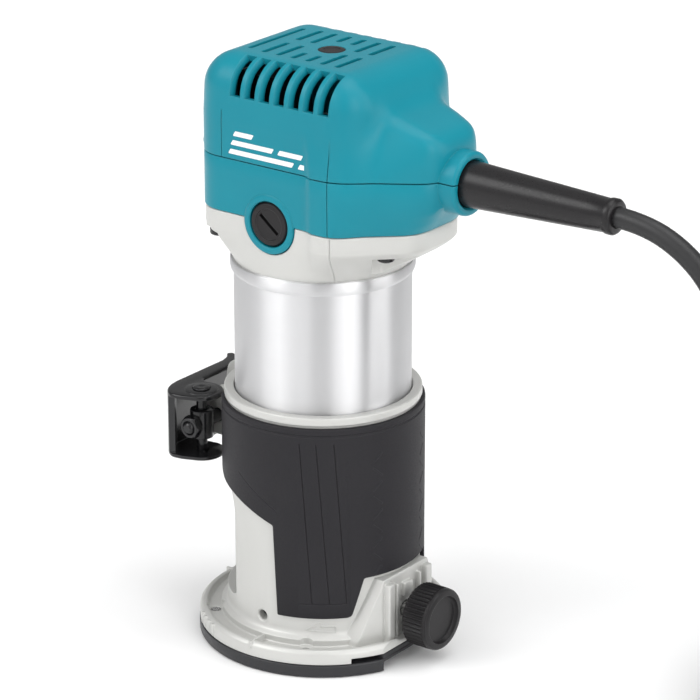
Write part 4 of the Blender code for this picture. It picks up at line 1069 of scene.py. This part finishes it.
def guide_pad():
    """The rear pad for guides: a flat face with two upright wings, two ribs and a lug."""
    pad = prism("guide_pad", rounded([(28, -24), (33.6, -24), (PAD_X, -14.2), (PAD_X, 14.2),
                                      (33.6, 24), (28, 24)], [1, 2, 1.5, 1.5, 2, 1], 5),
                "Z", 6.0, 33.0)
    slopes = []
    for side in (-1, 1):
        outline = [(side * 60, 4), (side * 60, 40), (side * 13.4, 40), (side * 13.4, 33.2),
                   (side * 24.6, 8.8), (side * 24.6, 4)]
        slopes.append(prism("pad_slope", outline, "X", 20, 60))
    cut(pad, *slopes)
    bevelled(pad, 0.7, 3, 35)
    details = []
    for side in (-1, 1):
        for near, far, x, top, width in ((9.6, 13.2, PAD_X + 2.6, 31.5, 0.6),
                                         (6.4, 7.6, PAD_X + 1.8, 30.0, 0.35)):
            low, high = sorted((side * near, side * far))
            details.append(bevelled(block("wing", (34, low, 7.4), (x, high, top)), width, 3))
    details.append(bevelled(block("pad_lug", (34, -2.6, 23.2), (PAD_X + 1.6, 2.6, 28.6)), 0.4, 2))
    join(pad, *details)
    cut(pad, lathe("pad_bore", [(0, 60), (BASE_BORE_R + 1, 60), (BASE_BORE_R + 1, 0), (0, 0)], 96))
    return pad


def clamp_lugs():
    """Two lugs either side of the slit, and the boss that carries the pinion's shaft."""
    front = prism("lug_front", rounded_box(-50, 69, -33.4, 87, [5, 0.5, 0.5, 5], 6), "Y", -7.8, -1.0)
    back = prism("lug_back", rounded([(-50, 69), (-33.4, 69), (-33.4, 96.5), (-46, 96.5)],
                                     [5, 0.5, 0.5, 5], 6), "Y", 1.0, 8.2)
    for lug in (front, back):
        bevelled(lug, 0.5, 3)
    boss = rod("pinion_boss", 4.4, *sideways(PINION_X, PINION_Z, 7.2, 26.4), 40)
    return front, back, bevelled(boss, 0.4, 2)


def foot_relief():
    """Ridges for the fingers on the rim, a tick rib at the side and one at the front."""
    marks = []
    for degrees in (-129, -124.3, -119.6, -115):
        for flip in (-1, 1):
            ridge = block("ridge", (45.6, -0.85, 5.8), (47.1, 0.85, 10.3))
            bevelled(ridge, 0.4, 2)
            ridge.rotation_euler = (0, 0, radians(degrees * flip))
            marks.append(settle(ridge))
    for degrees in (-88, 92, 180):
        tick = block("tick", (36.5, -0.55, 8.4), (47.0, 0.55, 11.0))
        bevelled(tick, 0.3, 2)
        tick.rotation_euler = (0, 0, radians(degrees))
        marks.append(settle(tick))
    return marks


def feed_arrow(name):
    """The outline of an arrow on the wall, low at the side, pointing forward."""
    mid = 14.2
    lines = [((-63.0, mid + 0.2), (-54.5, mid + 3.4)), ((-54.5, mid + 3.4), (-54.5, mid + 1.6)),
             ((-54.5, mid + 1.6), (-45.5, mid + 1.6)), ((-45.5, mid + 1.6), (-45.5, mid - 0.8)),
             ((-45.5, mid - 0.8), (-63.0, mid + 0.2))]
    bars = []
    for (a0, z0), (a1, z1) in lines:
        steps = max(2, int(abs(a1 - a0) / 2) + 1)
        loops = []
        for i in range(steps + 1):
            share = i / steps
            degrees, z = a0 + (a1 - a0) * share, z0 + (z1 - z0) * share
            slope = Vector(((a1 - a0) * 0.64, z1 - z0)).normalized() * 0.22
            loops.append([around(r, degrees - slope.y * along / 0.64, z + slope.x * along)
                          for r, along in ((BASE_R - 0.4, -1), (BASE_R + 0.16, -1),
                                           (BASE_R + 0.16, 1), (BASE_R - 0.4, 1))])
        bars.append(skin(name, loops))
    return bars


def make_base():
    """One casting: clamp ring, columns either side of the chip window, rimmed foot and pad."""
    profile = [(36.1, RING_TOP_Z), (36.45, RING_TOP_Z - 0.35), (36.5, 95.2), (36.2, 94.9),
               (BASE_R, 94.8), (BASE_R, 14.2), (36.2, 13.0), (36.9, 12.1), (38.2, 11.5),
               (38.5, 11.2), (38.5, DECK_Z + 0.3), (38.8, DECK_Z), (42.9, DECK_Z),
               (43.3, DECK_Z + 0.4), (43.9, 10.5), (44.2, 10.65), (45.1, 10.65), (45.4, 10.5),
               (46.4, 9.6), (46.6, 9.2), (46.6, FOOT_Z0), (24.0, FOOT_Z0), (24.0, DECK_Z),
               (BASE_BORE_R, DECK_Z), (BASE_BORE_R, RING_TOP_Z - 0.4), (BASE_BORE_R + 0.4, RING_TOP_Z)]
    casting = lathe("base_body", profile)
    join(casting, guide_pad(), *clamp_lugs())
    join(casting, *foot_relief())
    corner_y, corner_z = 10.0, 16.0
    arc = [(WINDOW_HALF_Y - corner_y * (1 - cos(a)), WINDOW_TOP_Z - corner_z * (1 - sin(a)))
           for a in [pi / 2 * i / 14 for i in range(15)]]
    side = [(WINDOW_HALF_Y - 1.5, SILL_Z), (WINDOW_HALF_Y, SILL_Z + 1.5)] + arc
    cut(casting,
        prism("window_cut", side + [(-y, z) for y, z in reversed(side)], "X", -48, -11),
        block("slit_cut", (-60, -1.5, WINDOW_TOP_Z - 4), (-20, 1.5, 110)),
        block("chord_cut", (CHORD_X, -60, 0), (60, 60, 12)),
        block("pad_undercut", (30, -30, 4), (60, 30, 7.3)),
        rod("pinion_pocket", 7.0, *sideways(PINION_X, PINION_Z, 2.4, 7.3), 48),
        rod("pinion_bore", 2.5, *sideways(PINION_X, PINION_Z, 5, 40), 32),
        rod("clamp_bore", 2.8, *sideways(CLAMP_X, CLAMP_Z, -12, 6.4), 32),
        rod("guide_bore", 3.3, *lengthways(0, GUIDE_Z, PAD_X + 9, 29.0), 32),
        spun("sight_hole", [(0, 0), (0, 2.4), (2.2, 2.4), (2.9, 1.9), (10, 1.9), (10, 0)],
             *sideways(-1.0, 16.8, -38.2, -28.2), 40))
    cut(casting, *[spun("screw_way", [(0, 0), (0, 1.9), (4.5, 1.9), (5.2, 3.4), (9, 3.4), (9, 0)],
                        *upright(x, y, 4, 13), 32) for x, y in PLATE_SCREWS])
    join(casting, *feed_arrow("feed_arrow"))
    return piece(casting, CAST, "base", ["base_casting"], 32)


def groove(name, degrees0, z0, degrees1, z1, r0, r1, half=0.22, steps=24):
    """A hairline groove or rib that runs over the sleeve's curve from one place to another."""
    loops = []
    for i in range(steps + 1):
        share = i / steps
        degrees, z = degrees0 + (degrees1 - degrees0) * share, z0 + (z1 - z0) * share
        run = Vector(((degrees1 - degrees0) * 0.64, z1 - z0)).normalized()
        across, up = -run.y * half / 0.64, run.x * half
        loops.append([around(r, degrees + across * side, z + up * side)
                      for r, side in ((r0, -1), (r1, -1), (r1, 1), (r0, 1))])
    return skin(name, loops)


def make_grip():
    """The elastomer sleeve: a lip under the ring, panel lines, and raised dashes at the rear."""
    inner, outer, clear = BASE_R + 0.3, 37.6, 38.2
    profile = [(inner, 94.2), (37.0, 94.2), (37.5, 93.9), (outer, 93.3), (outer, 92.0), (37.25, 91.6),
               (37.25, 91.2), (outer, 90.8), (outer, 20.0), (37.3, 19.5), (36.9, 19.4), (inner, 19.4)]
    grip = lathe("grip_skin", profile)
    column = rounded([(-60, 66.5), (-30, 66.5), (-23.5, 63.6), (-14.5, 61.6), (-6.3, 59.0),
                      (5.2, 54.9), (6.9, 19.3), (9.6, 10), (-60, 10)],
                     [0.5, 0.5, 2, 4, 4, 1.0, 2.6, 0.5, 0.5], 6)
    pad = rounded([(-60, 5), (60, 5), (60, 19.4), (22.6, 19.4), (18.4, 34.6), (-18.4, 34.6),
                   (-22.6, 19.4), (-60, 19.4)], [0.5, 0.5, 0.5, 2.2, 1.0, 1.0, 2.2, 0.5], 6)
    cut(grip, prism("grip_columns", column, "Y", -60, 60), prism("grip_pad", pad, "X", 10, 60),
        block("grip_front", (-60, -60, 0), (-29.5, 60, 120)))
    lines = []
    for flip in (-1, 1):
        for top, bottom in ((-65.9, -59.1), (-56.7, -49.4), (-46.8, -39.7)):
            lines.append(groove("panel_line", top * flip, 88.5, bottom * flip, 25.6, 37.25, clear))
        lines.append(groove("foot_line", -66.0 * flip, 25.4, -39.4 * flip, 25.4, 37.36, clear, 0.2))
        lines.append(groove("side_line", -108.0 * flip, 71.5, -80.0 * flip, 60.8, 37.42, clear, 0.18))
    cut(grip, *lines)
    dashes = []
    for flip in (-1, 1):
        for i in range(9):
            z = 83.0 - 5.6 * i
            lean = 3.0 if i % 2 else -3.0
            dashes.append(groove("dash", (-21.0 - lean) * flip, z, (-21.0 + lean) * flip, z - 3.4,
                                 37.3, 37.72, 0.34, 6))
    join(grip, *dashes)
    return piece(grip, RUBBER, "base", ["grip_sleeve"], 32)


def make_sub_base():
    """The plate the tool slides on, with a rolled edge, a chamfered hole and sunk screws; a black step
    in the casting's rear undercut is painted shade.
    """
    r, t, hole = 46.8, 5.0, 16.0
    profile = [(r - 0.5, t), (r, t - 0.4), (r, 1.0), (r - 0.3, 0.35), (r - 1.0, 0.0), (hole + 0.8, 0.0),
               (hole, 0.8), (hole, t - 0.5), (hole + 0.5, t)]
    plate = lathe("sub_base_plate", profile)
    cut(plate, block("chord", (CHORD_X, -60, -5), (60, 60, 20)),
        block("notch", (36.2, -19.2, -5), (60, 19.2, t - 0.4)))
    # Painted shade: a black step of the plate fills the casting's undercut under the rear pad, where
    # the gap would lie in shadow.
    painted_shade_step = bevelled(block("painted_shade_step", (32, -19.0, t - 1.4), (CHORD_X - 0.2, 19.0, 6.9)), 0.4, 2)
    join(plate, painted_shade_step)
    cut(plate, *[spun("sink", [(0, 0), (0, 4.2), (3.6, 4.2), (3.6, 2.4), (9, 2.4), (9, 0)],
                      *upright(x, y, -1, 8), 32) for x, y in PLATE_SCREWS])
    rings = [lathe("ring_line", [(q + 0.2, 0.18), (q + 0.2, -1), (q - 0.2, -1), (q - 0.2, 0.18)], 96)
             for q in (22.0, 30.0)]
    cut(plate, *rings)
    return piece(plate, PLATE, "base", ["sub_base"], 35)


make_base()
make_grip()
make_sub_base()
make_crossed_screws("sole_screw_", "plate_screw_", PLATE_SCREWS,
                    [(0, 0), (0, 2.6), (0.5, 3.4), (0.9, 3.8), (1.7, 3.75), (1.7, 1.6)],
                    2.2, 0.8, STEEL, "base")


# ---------------------------------------------------------------- clamp, lever and depth drive
LEVER_Z0, LEVER_Z1, LEVER_SHEET = 64.5, 90.2, 1.5


def make_lever():
    """A folded channel: two cam plates joined by a web that flares at its free end."""
    cam_r = 8.4
    plates = [(CLAMP_X + cam_r * cos(radians(a)), CLAMP_PIN_Y + cam_r * sin(radians(a)))
              for a in range(-75, 91, 6)]
    back = smooth_path([(-51.2, 9.0, 0), (-51.4, 12.4, 0), (-53.6, 17.2, 0), (-57.2, 19.6, 0),
                        (-59.2, 20.2, 0)], 1.2)
    front = smooth_path([(-60.8, 18.4, 0), (-58.6, 15.4, 0), (-57.4, 11.4, 0)], 1.2)
    heel = smooth_path([(-57.4, -16.0, 0), (-56.6, -20.6, 0), (-54.4, -24.6, 0), (-50.6, -27.4, 0),
                        (-46.0, -27.0, 0)], 1.2)
    plates += [(-49.0, -9.6), (-51.2, -7.0)] + [(p.x, p.y) for p in back + front + heel]
    lever = prism("lever_channel", plates, "Z", LEVER_Z0, LEVER_Z1)
    bevelled(lever, 0.9, 4, 60)
    pocket = [(-60.0, -27.2), (-49.6, -26.2), (-53.0, -23.4), (-55.7, -17.6), (-55.7, 12.7),
              (-59.3, 19.0), (-59.3, 30.0), (-30.0, 30.0), (-30.0, -40.0), (-60.0, -40.0)]
    cut(lever, prism("lever_pocket", pocket, "Z", LEVER_Z0 + LEVER_SHEET, LEVER_Z1 - LEVER_SHEET),
        rod("lever_bore", 2.3, *upright(CLAMP_X, CLAMP_PIN_Y, 50, 100), 32))
    for z, rise in ((LEVER_Z1, 0.5), (LEVER_Z0, -0.5)):
        profile = [(0, 3.6), (0, 6.4), (rise * 0.7, 6.2), (rise, 5.8), (rise, 3.6)]
        join(lever, spun("pressed_ring", profile, *upright(CLAMP_X, CLAMP_PIN_Y, z - 0.1, z + 1), 48))
    return piece(lever, GLOSS, "clamp_lever", ["clamp_lever"], 35)


def make_clamp_pin():
    """The upright pin, its heads domed with a punched centre."""
    low, high = node_box("clamp_pin")
    length = high.z - low.z
    profile = [(0.35, 0), (0.1, 1.0), (0, 1.4), (0, 2.6), (0.3, 3.1), (0.8, 3.2), (0.8, 2.0),
               (length - 0.8, 2.0), (length - 0.8, 3.2), (length - 0.3, 3.1), (length, 2.6),
               (length, 1.4), (length - 0.1, 1.0), (length - 0.35, 0)]
    pin = spun("lever_pin", profile, *upright(CLAMP_X, CLAMP_PIN_Y, low.z, high.z), 40)
    return piece(pin, GLOSS, "base", ["clamp_pin"])


def make_clamp_bolt():
    """The bolt through the lugs, its barrel round the pin, threads at the nut and a domed end."""
    low, high = node_box("clamp_bolt")
    profile = [(0, 0), (0, 2.5), (high.y + 18.6, 2.5)]
    along = high.y + 19.0
    while along < high.y - low.y - 0.8:
        profile += [(along, 2.2), (along + 0.4, 2.5)]
        along += 0.8
    length = high.y - low.y
    profile += [(length - 0.5, 2.2), (length, 1.5), (length, 0)]
    bolt = spun("clamp_tie_bolt", profile, *sideways(CLAMP_X, CLAMP_Z, high.y, low.y), 40)
    barrel = rod("barrel", 4.4, *upright(CLAMP_X, CLAMP_PIN_Y, CLAMP_Z - 5.5, CLAMP_Z + 5.5), 40)
    join(bolt, bevelled(barrel, 0.4, 2))
    cut(bolt, rod("barrel_bore", 2.3, *upright(CLAMP_X, CLAMP_PIN_Y, CLAMP_Z - 9, CLAMP_Z + 9), 32))
    return piece(bolt, GLOSS, "base", ["clamp_bolt"])


def make_clamp_nut():
    """A flanged hexagon nut with chamfered corners."""
    low, high = node_box("clamp_nut")
    nut = rod("clamp_hex_nut", 4.5, *sideways(CLAMP_X, CLAMP_Z, low.y, high.y), 6)
    thick = high.y - low.y
    cone = spun("chamfer", [(-0.1, 0), (-0.1, 3.6), (0.9, 4.6), (thick, 4.6), (thick, 0)],
                *sideways(CLAMP_X, CLAMP_Z, low.y, high.y), 48)
    boolean(nut, "INTERSECT", cone)
    cut(nut, rod("nut_bore", 2.8, *sideways(CLAMP_X, CLAMP_Z, -30, -15), 32))
    return piece(nut, GLOSS, "base", ["clamp_nut"])


def knurled(name, start, end, radius, ribs, bore, bore_depth, dish=1.3, hub=0.0):
    """A round knob: ribbed rim between two smooth bands, dished face."""
    start, end = Vector(start), Vector(end)
    length = (end - start).length
    turn = (end - start).to_track_quat("Z", "Y").to_matrix()
    levels = [(0.0, -1.0, 0.2), (0.5, -0.35, 0.6), (1.0, 0.0, 1.0), (length - 2.4, 0.0, 1.0),
              (length - 2.0, -0.1, 0.5), (length - 1.7, -0.1, 0.0), (length - 0.9, -0.15, 0.0),
              (length - 0.3, -0.5, 0.0), (length, -1.3, 0.0)]
    steps = ribs * 8
    loops = []
    for along, inset, relief in levels:
        loop = []
        for i in range(steps):
            angle = 2 * pi * i / steps
            wave = 0.5 - 0.5 * cos(angle * ribs)
            r = radius + inset - 0.75 * relief * wave ** 0.7
            loop.append(start + turn @ Vector((r * cos(angle), r * sin(angle), along)))
        loops.append(loop)
    knob = skin(name, loops)
    rim = radius - 2.9
    cut(knob, spun("dish", [(length - dish, 0), (length - dish, hub), (length - dish, rim - 0.5),
                            (length - dish + 0.5, rim), (length + 1, rim + 0.5), (length + 1, 0)],
                   start, end, 64),
        spun("bore", [(-1, 0), (-1, bore), (bore_depth, bore), (bore_depth, 0)], start, end, 40))
    return knob


def make_depth_drive():
    low, high = node_box("depth_knob")
    knob = knurled("depth_wheel", *sideways(PINION_X, PINION_Z, low.y, high.y),
                   9.0, 20, 2.4, 7.6)
    piece(knob, KNOB, "depth_pinion", ["depth_knob"], 35)
    teeth = []
    root, tip, half = 4.6, PITCH_R + ADDENDUM, 0.55
    for i in range(PINION_TEETH):
        for r, side, w in ((root, -1, 1.25), (tip - 0.5, -1, 1.0), (tip, -1, 0.6), (tip, 1, 0.6),
                           (tip - 0.5, 1, 1.0), (root, 1, 1.25)):
            spot = Matrix.Rotation(2 * pi * i / PINION_TEETH, 2) @ Vector((r, side * w * half))
            teeth.append((PINION_X + spot.x, PINION_Z + spot.y))
    gear = prism("pinion_gear", teeth, "Y", RACK_Y0 + 0.2, RACK_Y1 - 0.2)
    shaft_end = node_box("depth_pinion")[1].y
    shaft = rod("shaft", 2.1, *sideways(PINION_X, PINION_Z, 5, shaft_end), 40)
    join(gear, shaft)
    piece(gear, STEEL, "depth_pinion", ["depth_pinion"])


def make_guide_screw():
    low, high = node_box("guide_knob")
    knob = knurled("thumb_wheel", *lengthways(0, GUIDE_Z, low.x, high.x), 11.8, 44, 3.3, 6.8, 1.5)
    piece(knob, KNOB, "guide_screw", ["guide_knob"], 35)
    low, high = node_box("guide_washer")
    thick = high.x - low.x
    washer = spun("thumb_washer", [(0.2, 3.4), (0, 3.6), (0, 6.2), (0.25, 6.6), (thick - 0.25, 6.6),
                                   (thick, 6.2), (thick, 3.6), (thick - 0.2, 3.4)],
                  *lengthways(0, GUIDE_Z, low.x, high.x), 56)
    piece(washer, GLOSS, "guide_slide", ["guide_washer"])


make_lever()
make_clamp_pin()
make_clamp_bolt()
make_clamp_nut()
make_depth_drive()
make_guide_screw()


# ---------------------------------------------------------------- collet, switch and dial
def make_collet_nut():
    """A chamfered hexagon with a turned nose."""
    low, high = node_box("collet_nut")
    length = high.z - low.z
    nut = rod("collet_hex", 12.0, *upright(0, 0, low.z, high.z), 6)
    cone = spun("chamfer", [(0, 0), (0, 9.4), (2.2, 11.0), (2.6, 12.1), (length - 0.9, 12.1),
                            (length, 10.9), (length, 0)], *upright(0, 0, low.z, high.z), 72)
    boolean(nut, "INTERSECT", cone)
    cut(nut, rod("nut_room", 6.9, *upright(0, 0, 40.0, 60), 48),
        spun("mouth", [(-1, 0), (-1, 5.6), (0, 5.2), (0.8, 4.4), (40, 4.4), (40, 0)],
             *upright(0, 0, low.z, high.z), 48))
    return piece(nut, GLOSS, "spindle", ["collet_nut"])


def make_rocker():
    """A rocker with two finger slopes; a line and a ring mark its ends."""
    face = [(-31.2, 196.4), (-31.2, 212.6), (-34.6, 212.6), (-35.4, 212.2), (-36.2, 209.2),
            (-35.7, 206.8), (-35.0, 204.5), (-35.7, 202.2), (-36.2, 199.8), (-35.4, 196.8),
            (-34.6, 196.4)]
    rocker = prism("switch_key", face, "Y", -8.0, 8.0)
    bevelled(rocker, 0.35, 2, 50)
    cut(rocker, block("line_mark", (-37, -0.3, 207.8), (-35.3, 0.3, 210.4)))
    ring = spun("ring_mark", [(0, 0.9), (0, 1.4), (2, 1.4), (2, 0.9)],
                *lengthways(0, 199.8, -37.2, -35.2), 32)
    cut(rocker, ring)
    return piece(rocker, KNOB, "switch_rocker", ["switch_rocker"])


def make_dial():
    """The edge-on thumb wheel, finely ribbed between two bevelled rims."""
    low, high = node_box("speed_dial")
    x, r = (low.x + high.x) / 2, (high.x - low.x) / 2
    dial = knurled("speed_wheel", *upright(x, 0, low.z, high.z), r, 36, 1.5, 3.0, 0.6)
    return piece(dial, DIAL, "speed_dial", ["speed_dial"], 35)


make_collet_nut()
make_rocker()
make_dial()


# ---------------------------------------------------------------- pieces kept from the frame
KEPT = {
    STEEL: ["lower_bearing", "upper_bearing", "bearing_retainer", "spindle", "collet_cone",
            "brush_spring_left", "brush_spring_right", "guide_screw"],
    IRON: ["stator_core", "armature_core"],
    COPPER: ["field_coil_front", "field_coil_rear", "armature_windings", "commutator"],
    BRASS: ["brush_holder_left", "brush_holder_right"],
    CARBON: ["carbon_brush_left", "carbon_brush_right"],
    KNOB: ["fan_baffle", "cooling_fan", "switch_body", "speed_module", "cord_clamp"],
}


def finish_kept_nodes():
    for finish, names in KEPT.items():
        for name in names:
            node = frame["nodes"][name]
            node.data.materials.clear()
            node.data.materials.append(finish)


finish_kept_nodes()


# ---------------------------------------------------------------- studio
def light(name, kind, place, aim, size, power, colour=(1, 1, 1)):
    data = bpy.data.lights.new(name, kind)
    data.energy = power
    data.color = colour
    data.shape = "RECTANGLE"
    data.size, data.size_y = size
    lamp = add(bpy.data.objects.new(name, data))
    lamp.location = place
    lamp.rotation_euler = (Vector(aim) - Vector(place)).to_track_quat("-Z", "Y").to_euler()


def make_studio():
    bm = bmesh.new()
    bmesh.ops.create_grid(bm, x_segments=1, y_segments=1, size=6.0)
    floor = mesh_object("studio_floor", bm)
    floor.data.materials.append(surface("floor_white", [(0.93, 0.93, 0.93), (0.94, 0.94, 0.94)],
                                        (0.85, 0.95), grain=60, bump=0.0, specular=0.1))
    light("key", "AREA", (-1.2, -1.6, 1.9), (0, 0, 0.12), (1.4, 1.4), 22)
    light("fill", "AREA", (2.2, -0.6, 1.2), (0, 0, 0.12), (1.0, 1.6), 8)
    light("top", "AREA", (0.1, 0.4, 2.4), (0, 0, 0.1), (1.6, 1.6), 16)
    sky = bpy.data.worlds.new("studio")
    sky.use_nodes = True
    bpy.context.scene.world = sky
    nodes, links = sky.node_tree.nodes, sky.node_tree.links
    coords = nodes.new("ShaderNodeTexCoord")
    split = nodes.new("ShaderNodeSeparateXYZ")
    links.new(coords.outputs["Generated"], split.inputs["Vector"])
    turn = nodes.new("ShaderNodeMath")
    turn.operation = "ARCTAN2"
    links.new(split.outputs["Y"], turn.inputs[0])
    links.new(split.outputs["X"], turn.inputs[1])
    share = set_sockets(nodes.new("ShaderNodeMapRange"), From_Min=-pi, From_Max=pi)
    links.new(turn.outputs["Value"], share.inputs["Value"])
    ramp = nodes.new("ShaderNodeValToRGB")
    links.new(share.outputs["Result"], ramp.inputs["Fac"])
    set_bands(ramp.color_ramp)
    background = set_sockets(nodes["Background"], Strength=1.0)
    links.new(ramp.outputs["Color"], background.inputs["Color"])


#        degrees from the camera's side of the object, brightness from there on
BANDS = [(-180, 0.40), (-150, 0.36), (-108, 0.42), (-100, 0.70), (-66, 0.72), (-64, 0.30),
         (-62, 1.20), (-22, 1.30), (-12, 0.52), (10, 0.52), (15, 1.80), (44, 1.80), (48, 0.40),
         (55, 0.40), (60, 2.20), (86, 2.20), (100, 0.22), (118, 0.22), (126, 0.36), (180, 0.40)]


def set_bands(ramp):
    """Soft boxes round the object as bands of brightness round the horizon."""
    camera_side = CAMERA_TURN - 90.0
    spots = sorted((((angle + camera_side + 180) % 360) / 360, value) for angle, value in BANDS)
    ramp.interpolation = "EASE"
    while len(ramp.elements) > 1:
        ramp.elements.remove(ramp.elements[-1])
    ramp.elements[0].position = spots[0][0]
    ramp.elements[0].color = (*[spots[0][1]] * 3, 1)
    for place, value in spots[1:]:
        ramp.elements.new(place).color = (value, value, value, 1)


make_studio()
bpy.context.scene.view_settings.view_transform = "Standard"
